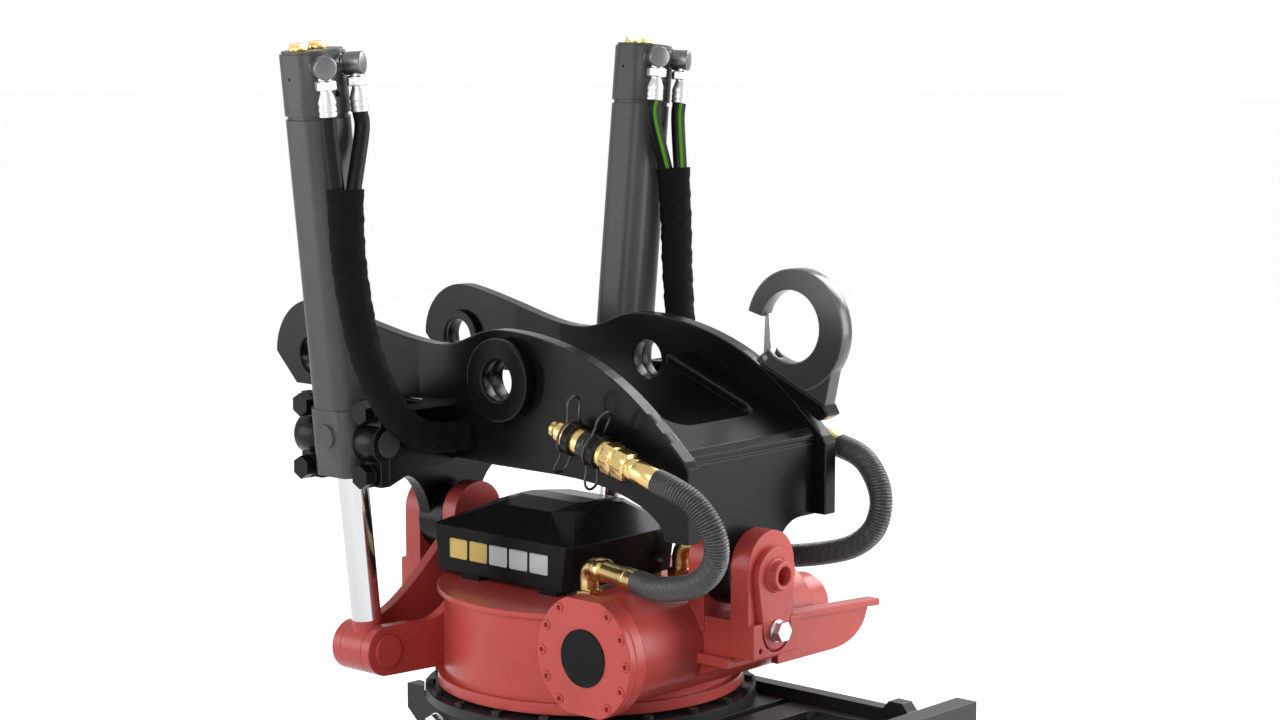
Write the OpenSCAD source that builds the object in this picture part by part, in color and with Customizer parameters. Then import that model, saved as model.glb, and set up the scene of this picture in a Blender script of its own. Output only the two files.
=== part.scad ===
// Excavator tilt rotator: a pin-on hitch, tilted by two cylinders, over a worm-driven rotor and quick coupler.
// X runs across the tool, Y along the tilt axis with the front at -Y, Z up. The rotor turns about Z.

/* [Upper pins] */
// Diameter of the stick pin and link pin bores
pin_d = 60; // [50:1:68]
// Distance between the stick pin and the link pin
pin_spacing = 408; // [395:1:425]
// Height of both pins above the tilt axis
pin_rise = 258; // [250:1:275]
// Distance of the stick pin behind the rotor axis
stick_pin_y = 12; // [0:1:24]

/* [Hitch] */
// Inside distance between the side plates at the front
plate_gap = 276; // [260:2:300]
// Thickness of the side plates
plate_t = 24; // [18:1:28]
// Outward step of the rear ears
joggle = 8; // [0:1:16]
// Radius of the rear ears
ear_r = 85; // [78:1:90]
// Diameter of the stick pin bosses
boss_d = 120; // [100:1:130]
// Thickness of the stick pin bosses
boss_t = 21; // [12:1:28]
// Thickness of the link pin bosses on the inside of the ears
link_boss_t = 10; // [6:1:16]
// Length of the side plates in front of the rotor axis
front_len = 332; // [326:1:345]
// Height of the base plate's underside above the tilt axis
base_rise = 131; // [130:1:140]
// Thickness of the base plate, the top plate and the front and rear plates' webs
web_t = 15; // [10:1:18]
// Thickness of the front and rear lug plates
lug_plate_t = 24; // [18:1:30]
// Slope of the top plate in degrees
top_slope = 21; // [15:0.5:24]
// Radius of the hitch's tilt lugs
hitch_lug_r = 52; // [46:1:56]

/* [Tilt axis] */
// Height of the tilt axis above the ground
tilt_z = 410; // [405:1:430]
// Distance from the rotor axis to the outer face of the tilt yokes
yoke_len = 346; // [340:1:356]
// Thickness of the outer yoke ears
yoke_ear_t = 32; // [26:1:36]
// Gap between the yoke's ears, taken by the hitch's lug
yoke_gap = 50; // [46:1:54]
// Diameter of the tilt pins
tilt_pin_d = 50; // [40:1:56]
// Wall of the tilt bushes
tilt_bush_t = 8; // [5:0.5:10]

/* [Tilt cylinders] */
// Distance of the cylinders behind the rotor axis
cyl_y = 205; // [198:1:212]
// Distance of the trunnions from the middle plane
trunnion_x = 290.3; // [285:0.1:300]
// Height of the trunnions above the tilt axis
trunnion_rise = 168; // [160:1:176]
// Distance of the rod eyes from the middle plane
eye_x = 257; // [252:1:262]
// Depth of the rod eyes below the tilt axis
eye_drop = 147; // [143:1:150]
// Width of the square barrel
barrel_w = 80; // [74:1:84]
// Bore of the barrel
barrel_bore = 62; // [54:1:64]
// Diameter of the piston rod
rod_d = 44; // [36:1:46]
// Length of the barrel above the trunnion collar
barrel_len = 416; // [405:1:440]
// Width of the cylinder head
head_w = 82; // [80:1:90]
// Height of the cylinder head
head_h = 96; // [90:1:110]
// Width of the trunnion collar
collar_w = 82; // [80:1:86]
// Height of the trunnion collar above and below the trunnion
collar_half = 49; // [44:1:52]
// Diameter of the trunnion stubs
trunnion_d = 40; // [34:1:44]
// Width of each trunnion bearing
bearing_w = 44; // [36:1:46]
// Diameter of the rod eye
eye_d = 74; // [68:1:76]
// Width of the rod eye
eye_w = 44; // [40:1:48]
// Diameter of the rod eye's pin
eye_pin_d = 36; // [30:1:40]
// Thickness of the housing's rod lug ears
lug_ear_t = 17; // [14:1:19]

/* [Rotor housing] */
// Radius of the gear housing
case_r = 217; // [212:1:222]
// Height of the gear housing's top face
case_top = 350; // [346:1:356]
// Height of the gear housing's lower face
case_low = 205; // [203:1:209]
// Height of the worm axis
worm_z = 302; // [300:1:306]
// Radius of the worm tunnel
tunnel_r = 78; // [70:1:80]
// Radius of the worm cover
cover_r = 88; // [84:1:92]
// Distance of the worm cover's face from the middle plane
cover_face = 213; // [208:1:220]
// Thickness of the worm cover
cover_t = 14; // [10:1:18]
// Number of worm wheel teeth
wheel_teeth = 60; // [60]
// Pitch radius of the worm wheel
wheel_pitch_r = 153; // [152:0.5:154]
// Pitch radius of the worm
worm_pitch_r = 32; // [31:0.5:34]
// Length of the hydraulic motor
motor_len = 82; // [70:1:110]
// Radius of the hydraulic motor
motor_r = 45; // [38:1:50]
// Height of the valve cover above the gear housing
valve_cover_h = 120; // [112:1:130]

/* [Quick coupler] */
// Diameter of the tool pins
tool_pin_d = 60; // [50:1:64]
// Distance between the tool pins
tool_pin_spacing = 480; // [470:5:500]
// Height of the tool pins above the ground
tool_pin_z = 85; // [82:1:92]
// Half of the coupler's width
coupler_half = 190; // [180:1:196]
// Thickness of the coupler's side plates
coupler_t = 24; // [18:1:30]
// Thickness of the turntable's flange
turntable_t = 14; // [10:1:16]
// Diameter of the lock bars
lock_bar_d = 40; // [32:1:42]

/* [Hoses] */
// Diameter of the main hoses with their guards
main_hose_d = 35; // [30:1:38]
// Diameter of the cylinder hoses' sleeve
sleeve_d = 40; // [34:1:44]
// Diameter of the cylinder hoses
hose_d = 22; // [18:1:24]

/* [Hidden] */
$fn = 64;

// Clearances
run = 0.05;   // radial running clearance of shafts and pins
gap = 0.4;    // clearance between faces that move past each other
eps = 1;      // overlap of cutting shapes

// Colours
black_paint = "#2a2a2c";
red_paint = "#b8443f";
brass = "#c9a24a";
zinc = "#d0d2d4";
chrome = "#dfe2e6";
steel = "#8a8d90";
rubber = "#1c1c1c";

// Heights and lengths worked out from the driving sizes
pin_z = tilt_z + pin_rise;
link_pin_y = stick_pin_y + pin_spacing;
inner_x = plate_gap / 2;
outer_x = inner_x + plate_t;
base_z = tilt_z + base_rise;
skirt_z = tilt_z + 62;
arm_y = 160;
arm_z = base_z + 81;
lug_y0 = yoke_len - yoke_ear_t - yoke_gap + gap;
lug_y1 = yoke_len - yoke_ear_t - gap;
lug_bore_d = tilt_pin_d + 2 * tilt_bush_t;
top_front_z = tilt_z + 184;
top_front_y = -lug_y1;
trunnion_z = tilt_z + trunnion_rise;
eye_z = tilt_z - eye_drop;
cyl_len = norm([trunnion_x - eye_x, trunnion_z - eye_z]);
lean = atan((trunnion_x - eye_x) / (trunnion_z - eye_z));
barrel_top = collar_half + barrel_len;
head_top = barrel_top + head_h;
spigot = 10;
piston_h = 30;
piston_mid = (collar_half + barrel_top - spigot) / 2;
lug_in = eye_w / 2 + gap;
lug_out = lug_in + lug_ear_t;
worm_y = -(wheel_pitch_r + worm_pitch_r);
lead = 2 * PI * wheel_pitch_r / wheel_teeth;
tooth_out = 4;
tooth_in = 6;
wheel_z0 = worm_z - 20;
wheel_z1 = worm_z + 20;
worm_journal_d = 44;
tunnel_bore_d = 2 * (worm_pitch_r + tooth_out + 6);
motor_x0 = cover_face - 8;
hub_r = 150;
ring_r = hub_r + 20;
rim_r = case_r + 10;
rim_t = 8;
turntable_r = rim_r + 19;
stem_r = 35;
turntable_top = case_low - 7;
coupler_top = turntable_top - turntable_t;
claw_y = -440;
saddle_y = claw_y + tool_pin_spacing;
rear_y = saddle_y + 156;
lock_z = tool_pin_z - tool_pin_d / 2 - lock_bar_d / 2 - gap;
lock_x = 95;

// Quick couplings and brass elbows, which the main hoses join
coupling_x = 200;
coupling_rear = [-118, tilt_z + 206];
coupling_dip = 15.3;
coupling_len = 198;
coupling_dir = [0, -cos(coupling_dip), -sin(coupling_dip)];
coupling_end = [coupling_x, coupling_rear[0], coupling_rear[1]] + coupling_len * coupling_dir;
elbow_place = [100, -92, case_top + 52];
elbow_turn = 16.5;
elbow_len = 134;
elbow_d = 30;
elbow_dir = [sin(elbow_turn), -cos(elbow_turn), 0];

// Routes of the hoses, from the hitch to the housing and from the cylinder heads into the hitch
main_route = [coupling_end + gap * coupling_dir, coupling_end + 34 * coupling_dir, [194, -368, 541], [187, -391, 514],
    [181, -399, 484], [177, -390, 453], [173, -362, 428], [166, -322, 413], elbow_place + (elbow_len + 46) * elbow_dir,
    elbow_place + (elbow_len + gap) * elbow_dir];
sleeve_hole = [92, tilt_z + 169];
tilt_route = [[347, 142, 942], [348, 137, 858], [343, 130, 788], [336, 119, 722], [323, 105, 668],
    [299, 96, 624], [268, 92, 597], [226, sleeve_hole[0], 583], [outer_x, sleeve_hole[0], sleeve_hole[1]],
    [inner_x - 12, sleeve_hole[0], sleeve_hole[1]]];

// Where each cylinder hose leaves its ferrule, and where it enters the sleeve
function cyl_point(s, p) = [s * (trunnion_x + p[0] * cos(lean) + p[2] * sin(lean)), cyl_y + p[1],
    trunnion_z - p[0] * sin(lean) + p[2] * cos(lean)];
function below_ferrule(s, x, d) = cyl_point(s, [x * elbow_reach * sin(elbow_splay), -elbow_reach * cos(elbow_splay),
    elbow_z - ferrule_low - d]);
function in_sleeve(s, x, z) = [s * (tilt_route[0][0] + x * 9), tilt_route[0][1], tilt_route[0][2] + z];

// Shared shapes
function bezier(a, b, c, d, n = 10) = [for (i = [0:n]) let(t = i / n, s = 1 - t)
    s * s * s * a + 3 * s * s * t * b + 3 * s * t * t * c + t * t * t * d];
function arc(c, r, a0, a1, n = 12) = [for (i = [0:n]) let(a = a0 + (a1 - a0) * i / n) c + r * [cos(a), sin(a)]];
function flip(points) = [for (p = points) [-p[0], p[1]]];
function backwards(points) = [for (i = [len(points) - 1:-1:0]) points[i]];

module along_x(x0, x1) translate([x0, 0, 0]) rotate([90, 0, 90]) linear_extrude(x1 - x0) children();
module along_y(y0, y1) translate([0, y1, 0]) rotate([90, 0, 0]) linear_extrude(y1 - y0) children();
module along_z(z0, z1) translate([0, 0, z0]) linear_extrude(z1 - z0) children();
module rod_x(d, x0, x1, y, z) translate([x0, y, z]) rotate([0, 90, 0]) cylinder(d = d, h = x1 - x0);
module rod_y(d, y0, y1, x, z) translate([x, y1, z]) rotate([90, 0, 0]) cylinder(d = d, h = y1 - y0);
module side(s) mirror([s < 0 ? 1 : 0, 0, 0]) children();
module end(s) mirror([0, s > 0 ? 1 : 0, 0]) children();
module both_sides() for (s = [-1, 1]) side(s) children();
module both_ends() for (s = [-1, 1]) end(s) children();

module round_rect(w, h, r) {
    square([w - 2 * r, h], center = true);
    square([w, h - 2 * r], center = true);
    for (x = [-1, 1], y = [-1, 1]) translate([x * (w / 2 - r), y * (h / 2 - r)]) circle(r);
}

module ring(d_out, d_in, h) difference() {
    cylinder(d = d_out, h = h);
    translate([0, 0, -eps]) cylinder(d = d_in, h = h + 2 * eps);
}

module hex(across, h) cylinder(d = across / cos(30), h = h, $fn = 6);

// A round tube swept along a list of points, none of whose steps runs along the axis named
module tube(route, d, axis, sides = 10) {
    n = len(route);
    ends = [for (i = [0:n - 1]) let(a = route[max(i - 1, 0)], b = route[min(i + 1, n - 1)]) (b - a) / norm(b - a)];
    rings = [for (i = [0:n - 1]) let(t = ends[i], u = cross(axis, t) / norm(cross(axis, t)), v = cross(t, u))
        for (k = [0:sides - 1]) route[i] + d / 2 * (cos(360 * k / sides) * u + sin(360 * k / sides) * v)];
    walls = [for (i = [0:n - 2], k = [0:sides - 1]) let(m = (k + 1) % sides)
        [i * sides + k, (i + 1) * sides + k, (i + 1) * sides + m, i * sides + m]];
    first = [for (k = [0:sides - 1]) k];
    last = [for (k = [sides - 1:-1:0]) (n - 1) * sides + k];
    polyhedron(rings, concat(walls, [first], [last]), convexity = 8);
}

// Hitch

module side_outline() {
    ear = [link_pin_y, pin_z];
    ear_top = ear + ear_r * [cos(100), sin(100)];
    dip = [link_pin_y - 273, pin_z + 39];
    hump = [stick_pin_y + 8, pin_z + 70];
    brow = [stick_pin_y - 187, pin_z + 28];
    nose = [-front_len + 7, tilt_z + 176];
    arch_y = -90;
    arch_w = front_len - 42 + arch_y;
    fillet = 30;
    heel = [link_pin_y + ear_r - (pin_z - arm_z), arm_z];
    polygon(concat(
        [[-front_len, skirt_z]],
        [for (a = [180:-10:90]) [arch_y + arch_w * cos(a), skirt_z + (base_z - skirt_z) * sin(a)]],
        [[arm_y, base_z]],
        arc([arm_y + fillet, arm_z - fillet], fillet, 180, 90, 6),
        [heel],
        arc(ear, ear_r, 0, 100, 16),
        bezier(ear_top, ear_top + [-80, -12], dip + [70, -4], dip),
        bezier(dip, dip + [-50, 3], hump + [55, 0], hump),
        bezier(hump, hump + [-65, 0], brow + [60, 28], brow),
        bezier(brow, brow + [-60, -28], nose + [42, 38], nose),
        [[-front_len, nose[1] - 10]]));
}

module joggle_plan(far) {
    y0 = arm_y + 32;
    y1 = y0 + 104;
    polygon([[inner_x, -far], [outer_x, -far], [outer_x, y0], [outer_x + joggle, y1], [outer_x + joggle, far],
        [inner_x + joggle, far], [inner_x + joggle, y1], [inner_x, y0]]);
}

module side_plate() {
    far = link_pin_y + 2 * ear_r;
    difference() {
        intersection() {
            along_x(0, outer_x + joggle + eps) side_outline();
            along_z(0, pin_z + 2 * ear_r) joggle_plan(far);
        }
        rod_x(pin_d, 0, far, stick_pin_y, pin_z);
        rod_x(pin_d, 0, far, link_pin_y, pin_z);
        rod_x(sleeve_d + 8, 0, far, sleeve_hole[0], sleeve_hole[1]);
    }
}

module hitch_side_plate_left() color(black_paint) side(-1) side_plate();
module hitch_side_plate_right() color(black_paint) difference() {
    side_plate();
    latch_slot();
}

module stick_pin_bosses() color(black_paint) both_sides()
    translate([outer_x, stick_pin_y, pin_z]) rotate([0, 90, 0]) ring(boss_d, pin_d, boss_t);

module link_pin_bosses() color(black_paint) both_sides()
    translate([inner_x + joggle - link_boss_t, link_pin_y, pin_z]) rotate([0, 90, 0]) ring(pin_d + 28, pin_d, link_boss_t);

module lug_outline(half, top_z, shoulder_z) {
    neck = hitch_lug_r - 2;
    right = concat(
        bezier([neck, tilt_z + 10], [neck + 4, tilt_z + 38], [neck + 24, shoulder_z], [neck + 55, shoulder_z]),
        [[half, shoulder_z], [half, top_z]]);
    polygon(concat(right, backwards(flip(right))));
    translate([0, tilt_z]) circle(hitch_lug_r);
}

module lug_plate(half, top_z, shoulder_z) difference() {
    union() {
        along_y(-lug_y1, -lug_y1 + lug_plate_t) lug_outline(half, top_z, shoulder_z);
        rod_y(2 * hitch_lug_r, -lug_y1, -lug_y0, 0, tilt_z);
    }
    rod_y(lug_bore_d, -lug_y1 - eps, -lug_y0 + eps, 0, tilt_z);
}

// Under the sloping top plate, at a distance behind the front plate's face
function under_top(back) = top_front_z - web_t + back * tan(top_slope);

module hitch_front_plate() color(black_paint) {
    groove = 3;
    difference() {
        lug_plate(inner_x, under_top(lug_plate_t), skirt_z);
        along_x(-outer_x, outer_x) polygon([[top_front_y - eps, under_top(0) - groove], [top_front_y + groove, under_top(0) - groove],
            [top_front_y + groove, under_top(groove)], [top_front_y + 2 * lug_plate_t, under_top(2 * lug_plate_t)],
            [top_front_y - eps, under_top(2 * lug_plate_t)]]);
    }
}

module hitch_rear_plate() color(black_paint) end(1) lug_plate(110, base_z, tilt_z + 78);

module hitch_top_plate() color(black_paint) {
    rear = -70;
    depth = rear - top_front_y;
    bevel = 7;
    notch_half = 90;
    notch_y = -250;
    notch_r = 32;
    difference() {
        along_x(-inner_x, inner_x) polygon([[top_front_y, under_top(0)], [rear, under_top(depth)],
            [rear, under_top(depth) + web_t], [top_front_y + bevel, under_top(bevel) + web_t],
            [top_front_y, under_top(0) + web_t - bevel]]);
        along_z(0, pin_z + ear_r) translate([0, (notch_y + front_len) / 2]) {
            round_rect(2 * notch_half, front_len - notch_y, notch_r);
        }
    }
}

module hitch_base_plate() color(black_paint) difference() {
    y0 = -lug_y1 + lug_plate_t;
    union() {
        translate([-inner_x, y0, base_z]) cube([plate_gap, arm_y - y0, web_t]);
        translate([-outer_x, arm_y, base_z]) cube([2 * outer_x, lug_y1 - arm_y, web_t]);
    }
    along_z(base_z - eps, base_z + web_t + eps) round_rect(130, 220, 40);
    for (x = [-1, 1], y = [-180, 240]) translate([x * 95, y, base_z - eps]) cylinder(d = 18, h = web_t + 2 * eps);
}

module tilt_bushes() color(brass) both_ends() translate([0, -lug_y0, tilt_z]) rotate([90, 0, 0])
    ring(lug_bore_d, tilt_pin_d + 2 * run, lug_y1 - lug_y0);

// Trunnion bearings

cheek_y = collar_w / 2 + gap;
cap_r = trunnion_d / 2 + 11;
cap_half = 62;
cap_bolt_z = 46;
cap_flange = 16;
cap_bolt_d = 20;

module trunnion_bracket() difference() {
    union() {
        for (y = [cyl_y - cheek_y - bearing_w, cyl_y + cheek_y]) along_y(y, y + bearing_w)
            polygon([[outer_x, base_z], [trunnion_x - 48, base_z - 8], [trunnion_x, trunnion_z - cap_half],
                [trunnion_x, trunnion_z + cap_half], [trunnion_x - 40, arm_z], [outer_x, arm_z]]);
        translate([outer_x, cyl_y - cheek_y - eps, base_z]) cube([web_t, 2 * cheek_y + 2 * eps, arm_z - base_z]);
    }
    rod_y(trunnion_d + 2 * run, 0, 2 * cyl_y, trunnion_x, trunnion_z);
    cap_bolt_places() rod_x(cap_bolt_d, trunnion_x - 40, trunnion_x + eps, 0, 0);
}

module cap_bolt_places() for (y = [-1, 1], z = [-1, 1])
    translate([0, cyl_y + y * (cheek_y + bearing_w / 2), trunnion_z + z * cap_bolt_z]) children();

module trunnion_bracket_left() color(black_paint) side(-1) trunnion_bracket();
module trunnion_bracket_right() color(black_paint) trunnion_bracket();

module trunnion_caps() color(black_paint) both_sides() difference() {
    for (y = [cyl_y - cheek_y - bearing_w, cyl_y + cheek_y]) along_y(y, y + bearing_w) {
        translate([trunnion_x, trunnion_z - cap_half]) square([cap_flange, 2 * cap_half]);
        intersection() {
            translate([trunnion_x, trunnion_z]) circle(cap_r);
            translate([trunnion_x, trunnion_z - cap_r]) square([cap_r, 2 * cap_r]);
        }
    }
    rod_y(trunnion_d + 2 * run, 0, 2 * cyl_y, trunnion_x, trunnion_z);
    cap_bolt_places() rod_x(cap_bolt_d, trunnion_x - eps, trunnion_x + cap_flange + eps, 0, 0);
}

module trunnion_cap_bolts() color(black_paint) both_sides() cap_bolt_places() {
    rod_x(cap_bolt_d, trunnion_x - 40, trunnion_x + cap_flange + eps, 0, 0);
    translate([trunnion_x + cap_flange, 0, 0]) rotate([0, 90, 0]) {
        cylinder(d = 34, h = 5);
        hex(30, 22);
    }
}

// Lifting hook

hook_c = [60 - front_len, tilt_z + 325];
hook_r = 88;
hook_in_r = 53;
hook_t = 22;
hook_x = inner_x + plate_t / 2;
hook_in_c = hook_c + [8, 4];
hook_tip = hook_c + 61.7 * [cos(14), sin(14)];
latch_c = hook_c + 70 * [cos(-40), sin(-40)];
latch_pin_d = 8;
latch_end = hook_tip + [-gap - 4, 4];

module hook_bracket() color(black_paint) along_x(hook_x - 15, hook_x + 15) difference() {
    polygon([hook_c + [62, -52], hook_c + [56, -72], hook_c + [-48, -128], hook_c + [-66, -118], hook_c + [-58, -104]]);
    side_outline();
}

module lifting_hook() color(black_paint) difference() {
    along_x(hook_x - hook_t / 2, hook_x + hook_t / 2) difference() {
        union() {
            translate(hook_c) circle(hook_r);
            polygon([hook_c + [62, -52], hook_c + [-58, -104], hook_c + [-70, -50], hook_c + [40, -20]]);
        }
        translate(hook_in_c) circle(hook_in_r);
        polygon([hook_c, hook_c + 140 * [cos(14), sin(14)], hook_c + [200, -20], hook_c + 140 * [cos(-34), sin(-34)]]);
        polygon([hook_c + [62, -52], hook_c + [162, 0], hook_c + [162, -200], hook_c + [-58, -304], hook_c + [-58, -104]]);
        side_outline();
    }
    latch_slot();
    rod_x(latch_pin_d, hook_x - hook_t, hook_x + hook_t, latch_c[0], latch_c[1]);
}

module latch_slot() along_x(hook_x - 6, hook_x + 6) translate(latch_c) circle(22);

module hook_latch() color(zinc) difference() {
    along_x(hook_x - 5, hook_x + 5) {
        translate(latch_c) circle(8);
        polygon([latch_c + [-8, 0], latch_c + [8, 0], latch_end + [3, 0], latch_end + [-4, 0]]);
    }
    rod_x(latch_pin_d + 2 * run, hook_x - hook_t, hook_x + hook_t, latch_c[0], latch_c[1]);
}

module latch_pin() color(zinc) rod_x(latch_pin_d, hook_x - hook_t / 2, hook_x + hook_t / 2, latch_c[0], latch_c[1]);

// Quick couplings on the outside of the side plates

module at_coupling() translate([coupling_x, coupling_rear[0], coupling_rear[1]]) rotate([90 + coupling_dip, 0, 0])
    children();

coupling_d = 40;
clamp_places = [36, 84];
clamp_w = 12;

module quick_couplings() color(brass) both_sides() at_coupling() {
    cylinder(d = 26, h = 30);
    translate([0, 0, 14]) cylinder(d = 32, h = 11);
    translate([0, 0, 25]) cylinder(d = coupling_d, h = 81);
    translate([0, 0, 106]) hex(40, 19);
    translate([0, 0, 125]) hex(38, 25);
    translate([0, 0, 150]) cylinder(d = 32, h = coupling_len - 150);
}

module coupling_clamps() color(black_paint) both_sides() {
    at_coupling() for (z = clamp_places) translate([0, 0, z]) ring(coupling_d + 8, coupling_d, clamp_w);
    for (z = clamp_places) translate([outer_x, coupling_rear[0], coupling_rear[1]]) rotate([90 + coupling_dip, 0, 0])
        translate([0, -clamp_w, z]) cube([coupling_x - outer_x - coupling_d / 2 - 2, 2 * clamp_w, clamp_w]);
}

// Tilt cylinders, each built about its trunnion with the rod pointing down

module on_cylinder(s) translate([s * trunnion_x, cyl_y, trunnion_z]) rotate([0, s * lean, 0]) children();

module barrel() difference() {
    along_z(collar_half, barrel_top) round_rect(barrel_w, barrel_w, 26);
    translate([0, 0, -eps]) cylinder(d = barrel_bore, h = barrel_top + 2 * eps);
}

module cylinder_head() difference() {
    groove = 6;
    union() {
        along_z(barrel_top, barrel_top + groove) round_rect(barrel_w - 4, barrel_w - 4, 26);
        along_z(barrel_top + groove, head_top - 4) round_rect(head_w, head_w, 28);
        along_z(head_top - 4, head_top) round_rect(head_w - 6, head_w - 6, 25);
        translate([0, 0, barrel_top - spigot]) cylinder(d = barrel_bore, h = spigot + eps);
    }
    for (x = [-1, 1]) rotate(x * elbow_splay) rod_y(port_d, -head_w, -port_in, 0, elbow_z);
    for (x = [-1, 1]) rod_x(5, x * head_w / 2 - 6, x * head_w / 2 + 6, 6, barrel_top + 58);
    rod_y(9, -head_w, -head_w / 2 + 8, 4, barrel_top + 34);
}

module trunnion_collar() difference() {
    union() {
        along_z(-collar_half, collar_half) round_rect(collar_w, collar_w, 20);
        rod_y(trunnion_d, -cheek_y - bearing_w, cheek_y + bearing_w, 0, 0);
        rod_x(34, -collar_w / 2 - 5, collar_w / 2 + 5, 0, 12);
    }
    translate([0, 0, -collar_half - eps]) cylinder(d = rod_d + 2 * run, h = 2 * collar_half + 2 * eps);
}

module head_plugs() for (x = [-1, 1]) translate([x * 18, 8, head_top]) {
    cylinder(d = 28, h = 4);
    hex(22, 10);
}

elbow_z = barrel_top + 74;
elbow_splay = 28;
elbow_reach = 63;
port_d = 26;
port_in = 30;
ferrule_low = 68;

module head_elbows() for (x = [-1, 1]) rotate(x * elbow_splay) translate([0, -elbow_reach, elbow_z]) {
    rotate([-90, 0, 0]) cylinder(d = port_d, h = elbow_reach - port_in);
    rotate([90, 0, 0]) cylinder(d = 33, h = 12);
    translate([0, 0, -34]) cylinder(d = 24, h = 34);
    translate([0, 0, -46]) hex(27, 18);
    translate([0, 0, -ferrule_low]) cylinder(d1 = 20, d2 = 25, h = 30);
}

rod_foot = eye_d / 2 + 8;

module piston_rod() translate([0, 0, -cyl_len + rod_foot])
    cylinder(d = rod_d, h = cyl_len - rod_foot + piston_mid - piston_h / 2);

module piston() translate([0, 0, piston_mid - piston_h / 2]) cylinder(d = barrel_bore - 2 * run, h = piston_h);

module rod_eye() translate([0, 0, -cyl_len]) {
    difference() {
        union() {
            rod_y(eye_d, -eye_w / 2, eye_w / 2, 0, 0);
            cylinder(d = min(rod_d, eye_w), h = rod_foot);
        }
        rod_y(eye_pin_d, -eye_w, eye_w, 0, 0);
        translate([0, 0, rod_foot]) cylinder(d = rod_d, h = eye_d);
    }
    rod_y(eye_pin_d, -eye_w / 2, eye_w / 2, 0, 0);
}

module barrel_left() color(black_paint) on_cylinder(-1) barrel();
module barrel_right() color(black_paint) on_cylinder(1) barrel();
module cylinder_head_left() color(black_paint) on_cylinder(-1) cylinder_head();
module cylinder_head_right() color(black_paint) on_cylinder(1) cylinder_head();
module trunnion_collar_left() color(black_paint) on_cylinder(-1) trunnion_collar();
module trunnion_collar_right() color(black_paint) on_cylinder(1) trunnion_collar();
module head_plugs_left() color(brass) on_cylinder(-1) head_plugs();
module head_plugs_right() color(brass) on_cylinder(1) head_plugs();
module head_elbows_left() color(zinc) on_cylinder(-1) head_elbows();
module head_elbows_right() color(zinc) on_cylinder(1) head_elbows();
module piston_rod_left() color(chrome) on_cylinder(-1) piston_rod();
module piston_rod_right() color(chrome) on_cylinder(1) piston_rod();
module piston_left() color(steel) on_cylinder(-1) piston();
module piston_right() color(steel) on_cylinder(1) piston();
module rod_eye_left() color(red_paint) on_cylinder(-1) rod_eye();
module rod_eye_right() color(red_paint) on_cylinder(1) rod_eye();

// Rotor housing

beam_half = 46;
rib_half = 60;
yoke_half = 50;
yoke_rise = 12;
yoke_low = tilt_z - 114;
beam_top = tilt_z - hitch_lug_r - 12;

module yoke_ear(y0, y1, low) along_y(y0, y1) {
    translate([0, tilt_z + yoke_rise]) circle(yoke_half);
    translate([-yoke_half, low]) square([2 * yoke_half, tilt_z + yoke_rise - low]);
}

// The raised pad at the foot of the outer ear, with a round bay for the retainer's tail
module yoke_pad() along_y(-yoke_len - retainer_t, -yoke_len + eps) difference() {
    translate([-yoke_half, yoke_low]) square([2 * yoke_half, retainer_bolt_z + 14 - yoke_low]);
    translate([0, retainer_bolt_z]) circle(retainer_tail + 4);
    translate([-retainer_tail - 4, retainer_bolt_z]) square(2 * retainer_tail + 8);
    translate([-yoke_half + 15, yoke_low + 11]) circle(d = 8);
}

module yoke_rib(root_y) translate([-rib_half, -yoke_len + yoke_ear_t - 4, yoke_low - 16])
    cube([2 * rib_half, yoke_len - yoke_ear_t + 4 - root_y, 14]);

module yoke() {
    inner_y = yoke_len - yoke_ear_t - yoke_gap;
    root_y = case_r - 40;
    yoke_ear(-yoke_len, -yoke_len + yoke_ear_t, yoke_low);
    yoke_ear(-inner_y, -inner_y + 28, beam_top - 20);
    along_x(-beam_half, beam_half) polygon([[-root_y, case_low + 17], [-root_y, beam_top],
        [-yoke_len + eps, beam_top], [-yoke_len + eps, yoke_low + 4]]);
    yoke_pad();
    yoke_rib(root_y);
}

// One arm of a rod lug; the root is where it meets the housing
module lug_arm(y0, y1, root_x, root_low, root_top) along_y(y0, y1) {
    translate([eye_x, eye_z]) circle(d = eye_d);
    polygon(concat([[eye_x, eye_z - eye_d / 2], [eye_x, eye_z + eye_d / 2]],
        bezier([eye_x - 30, eye_z + eye_d / 2 - 2], [eye_x - 80, eye_z + eye_d / 2],
            [root_x + 70, root_top - 60], [root_x, root_top]),
        [[root_x, root_low]]));
}

module gear_housing() color(red_paint) difference() {
    union() {
        along_z(case_low, case_top) circle(case_r);
        along_z(case_top - rim_t, case_top) circle(rim_r);
        along_z(case_low, case_low + 2 * rim_t) circle(rim_r);
        rod_x(2 * tunnel_r, -cover_face + cover_t + eps, motor_x0 - eps, worm_y, worm_z);
        along_x(-cover_face + cover_t, -cover_face + cover_t + 18) cover_outline();
        rod_x(2 * motor_r + 34, motor_x0 - 16, motor_x0, worm_y, worm_z);
        both_ends() yoke();
        both_sides() {
            lug_arm(cyl_y - lug_out, cyl_y - lug_in, 100, case_low + 14, case_top - 16);
            lug_arm(cyl_y + lug_in, cyl_y + lug_out, beam_half - 6, case_low + 40, tilt_z + 20);
        }
    }
    rod_x(2 * cover_r + 1, -rim_r, -cover_face + cover_t, worm_y, worm_z);
    rod_x(tunnel_bore_d, -cover_face, motor_x0 + eps, worm_y, worm_z);
    along_z(wheel_z0 - 8, wheel_z1 + 7) circle(wheel_pitch_r + tooth_out + 5);
    along_z(case_low - eps, wheel_z0 - 7) circle(ring_r);
    along_z(case_low, case_top + eps) circle(stem_r + run);
    for (s = [-1, 1]) end(s) rod_y(tilt_pin_d, -yoke_len - eps, -lug_y0 + 60, 0, tilt_z);
    both_sides() rod_y(eye_pin_d, cyl_y - lug_out - eps, cyl_y + lug_out + eps, eye_x, eye_z);
}

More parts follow.
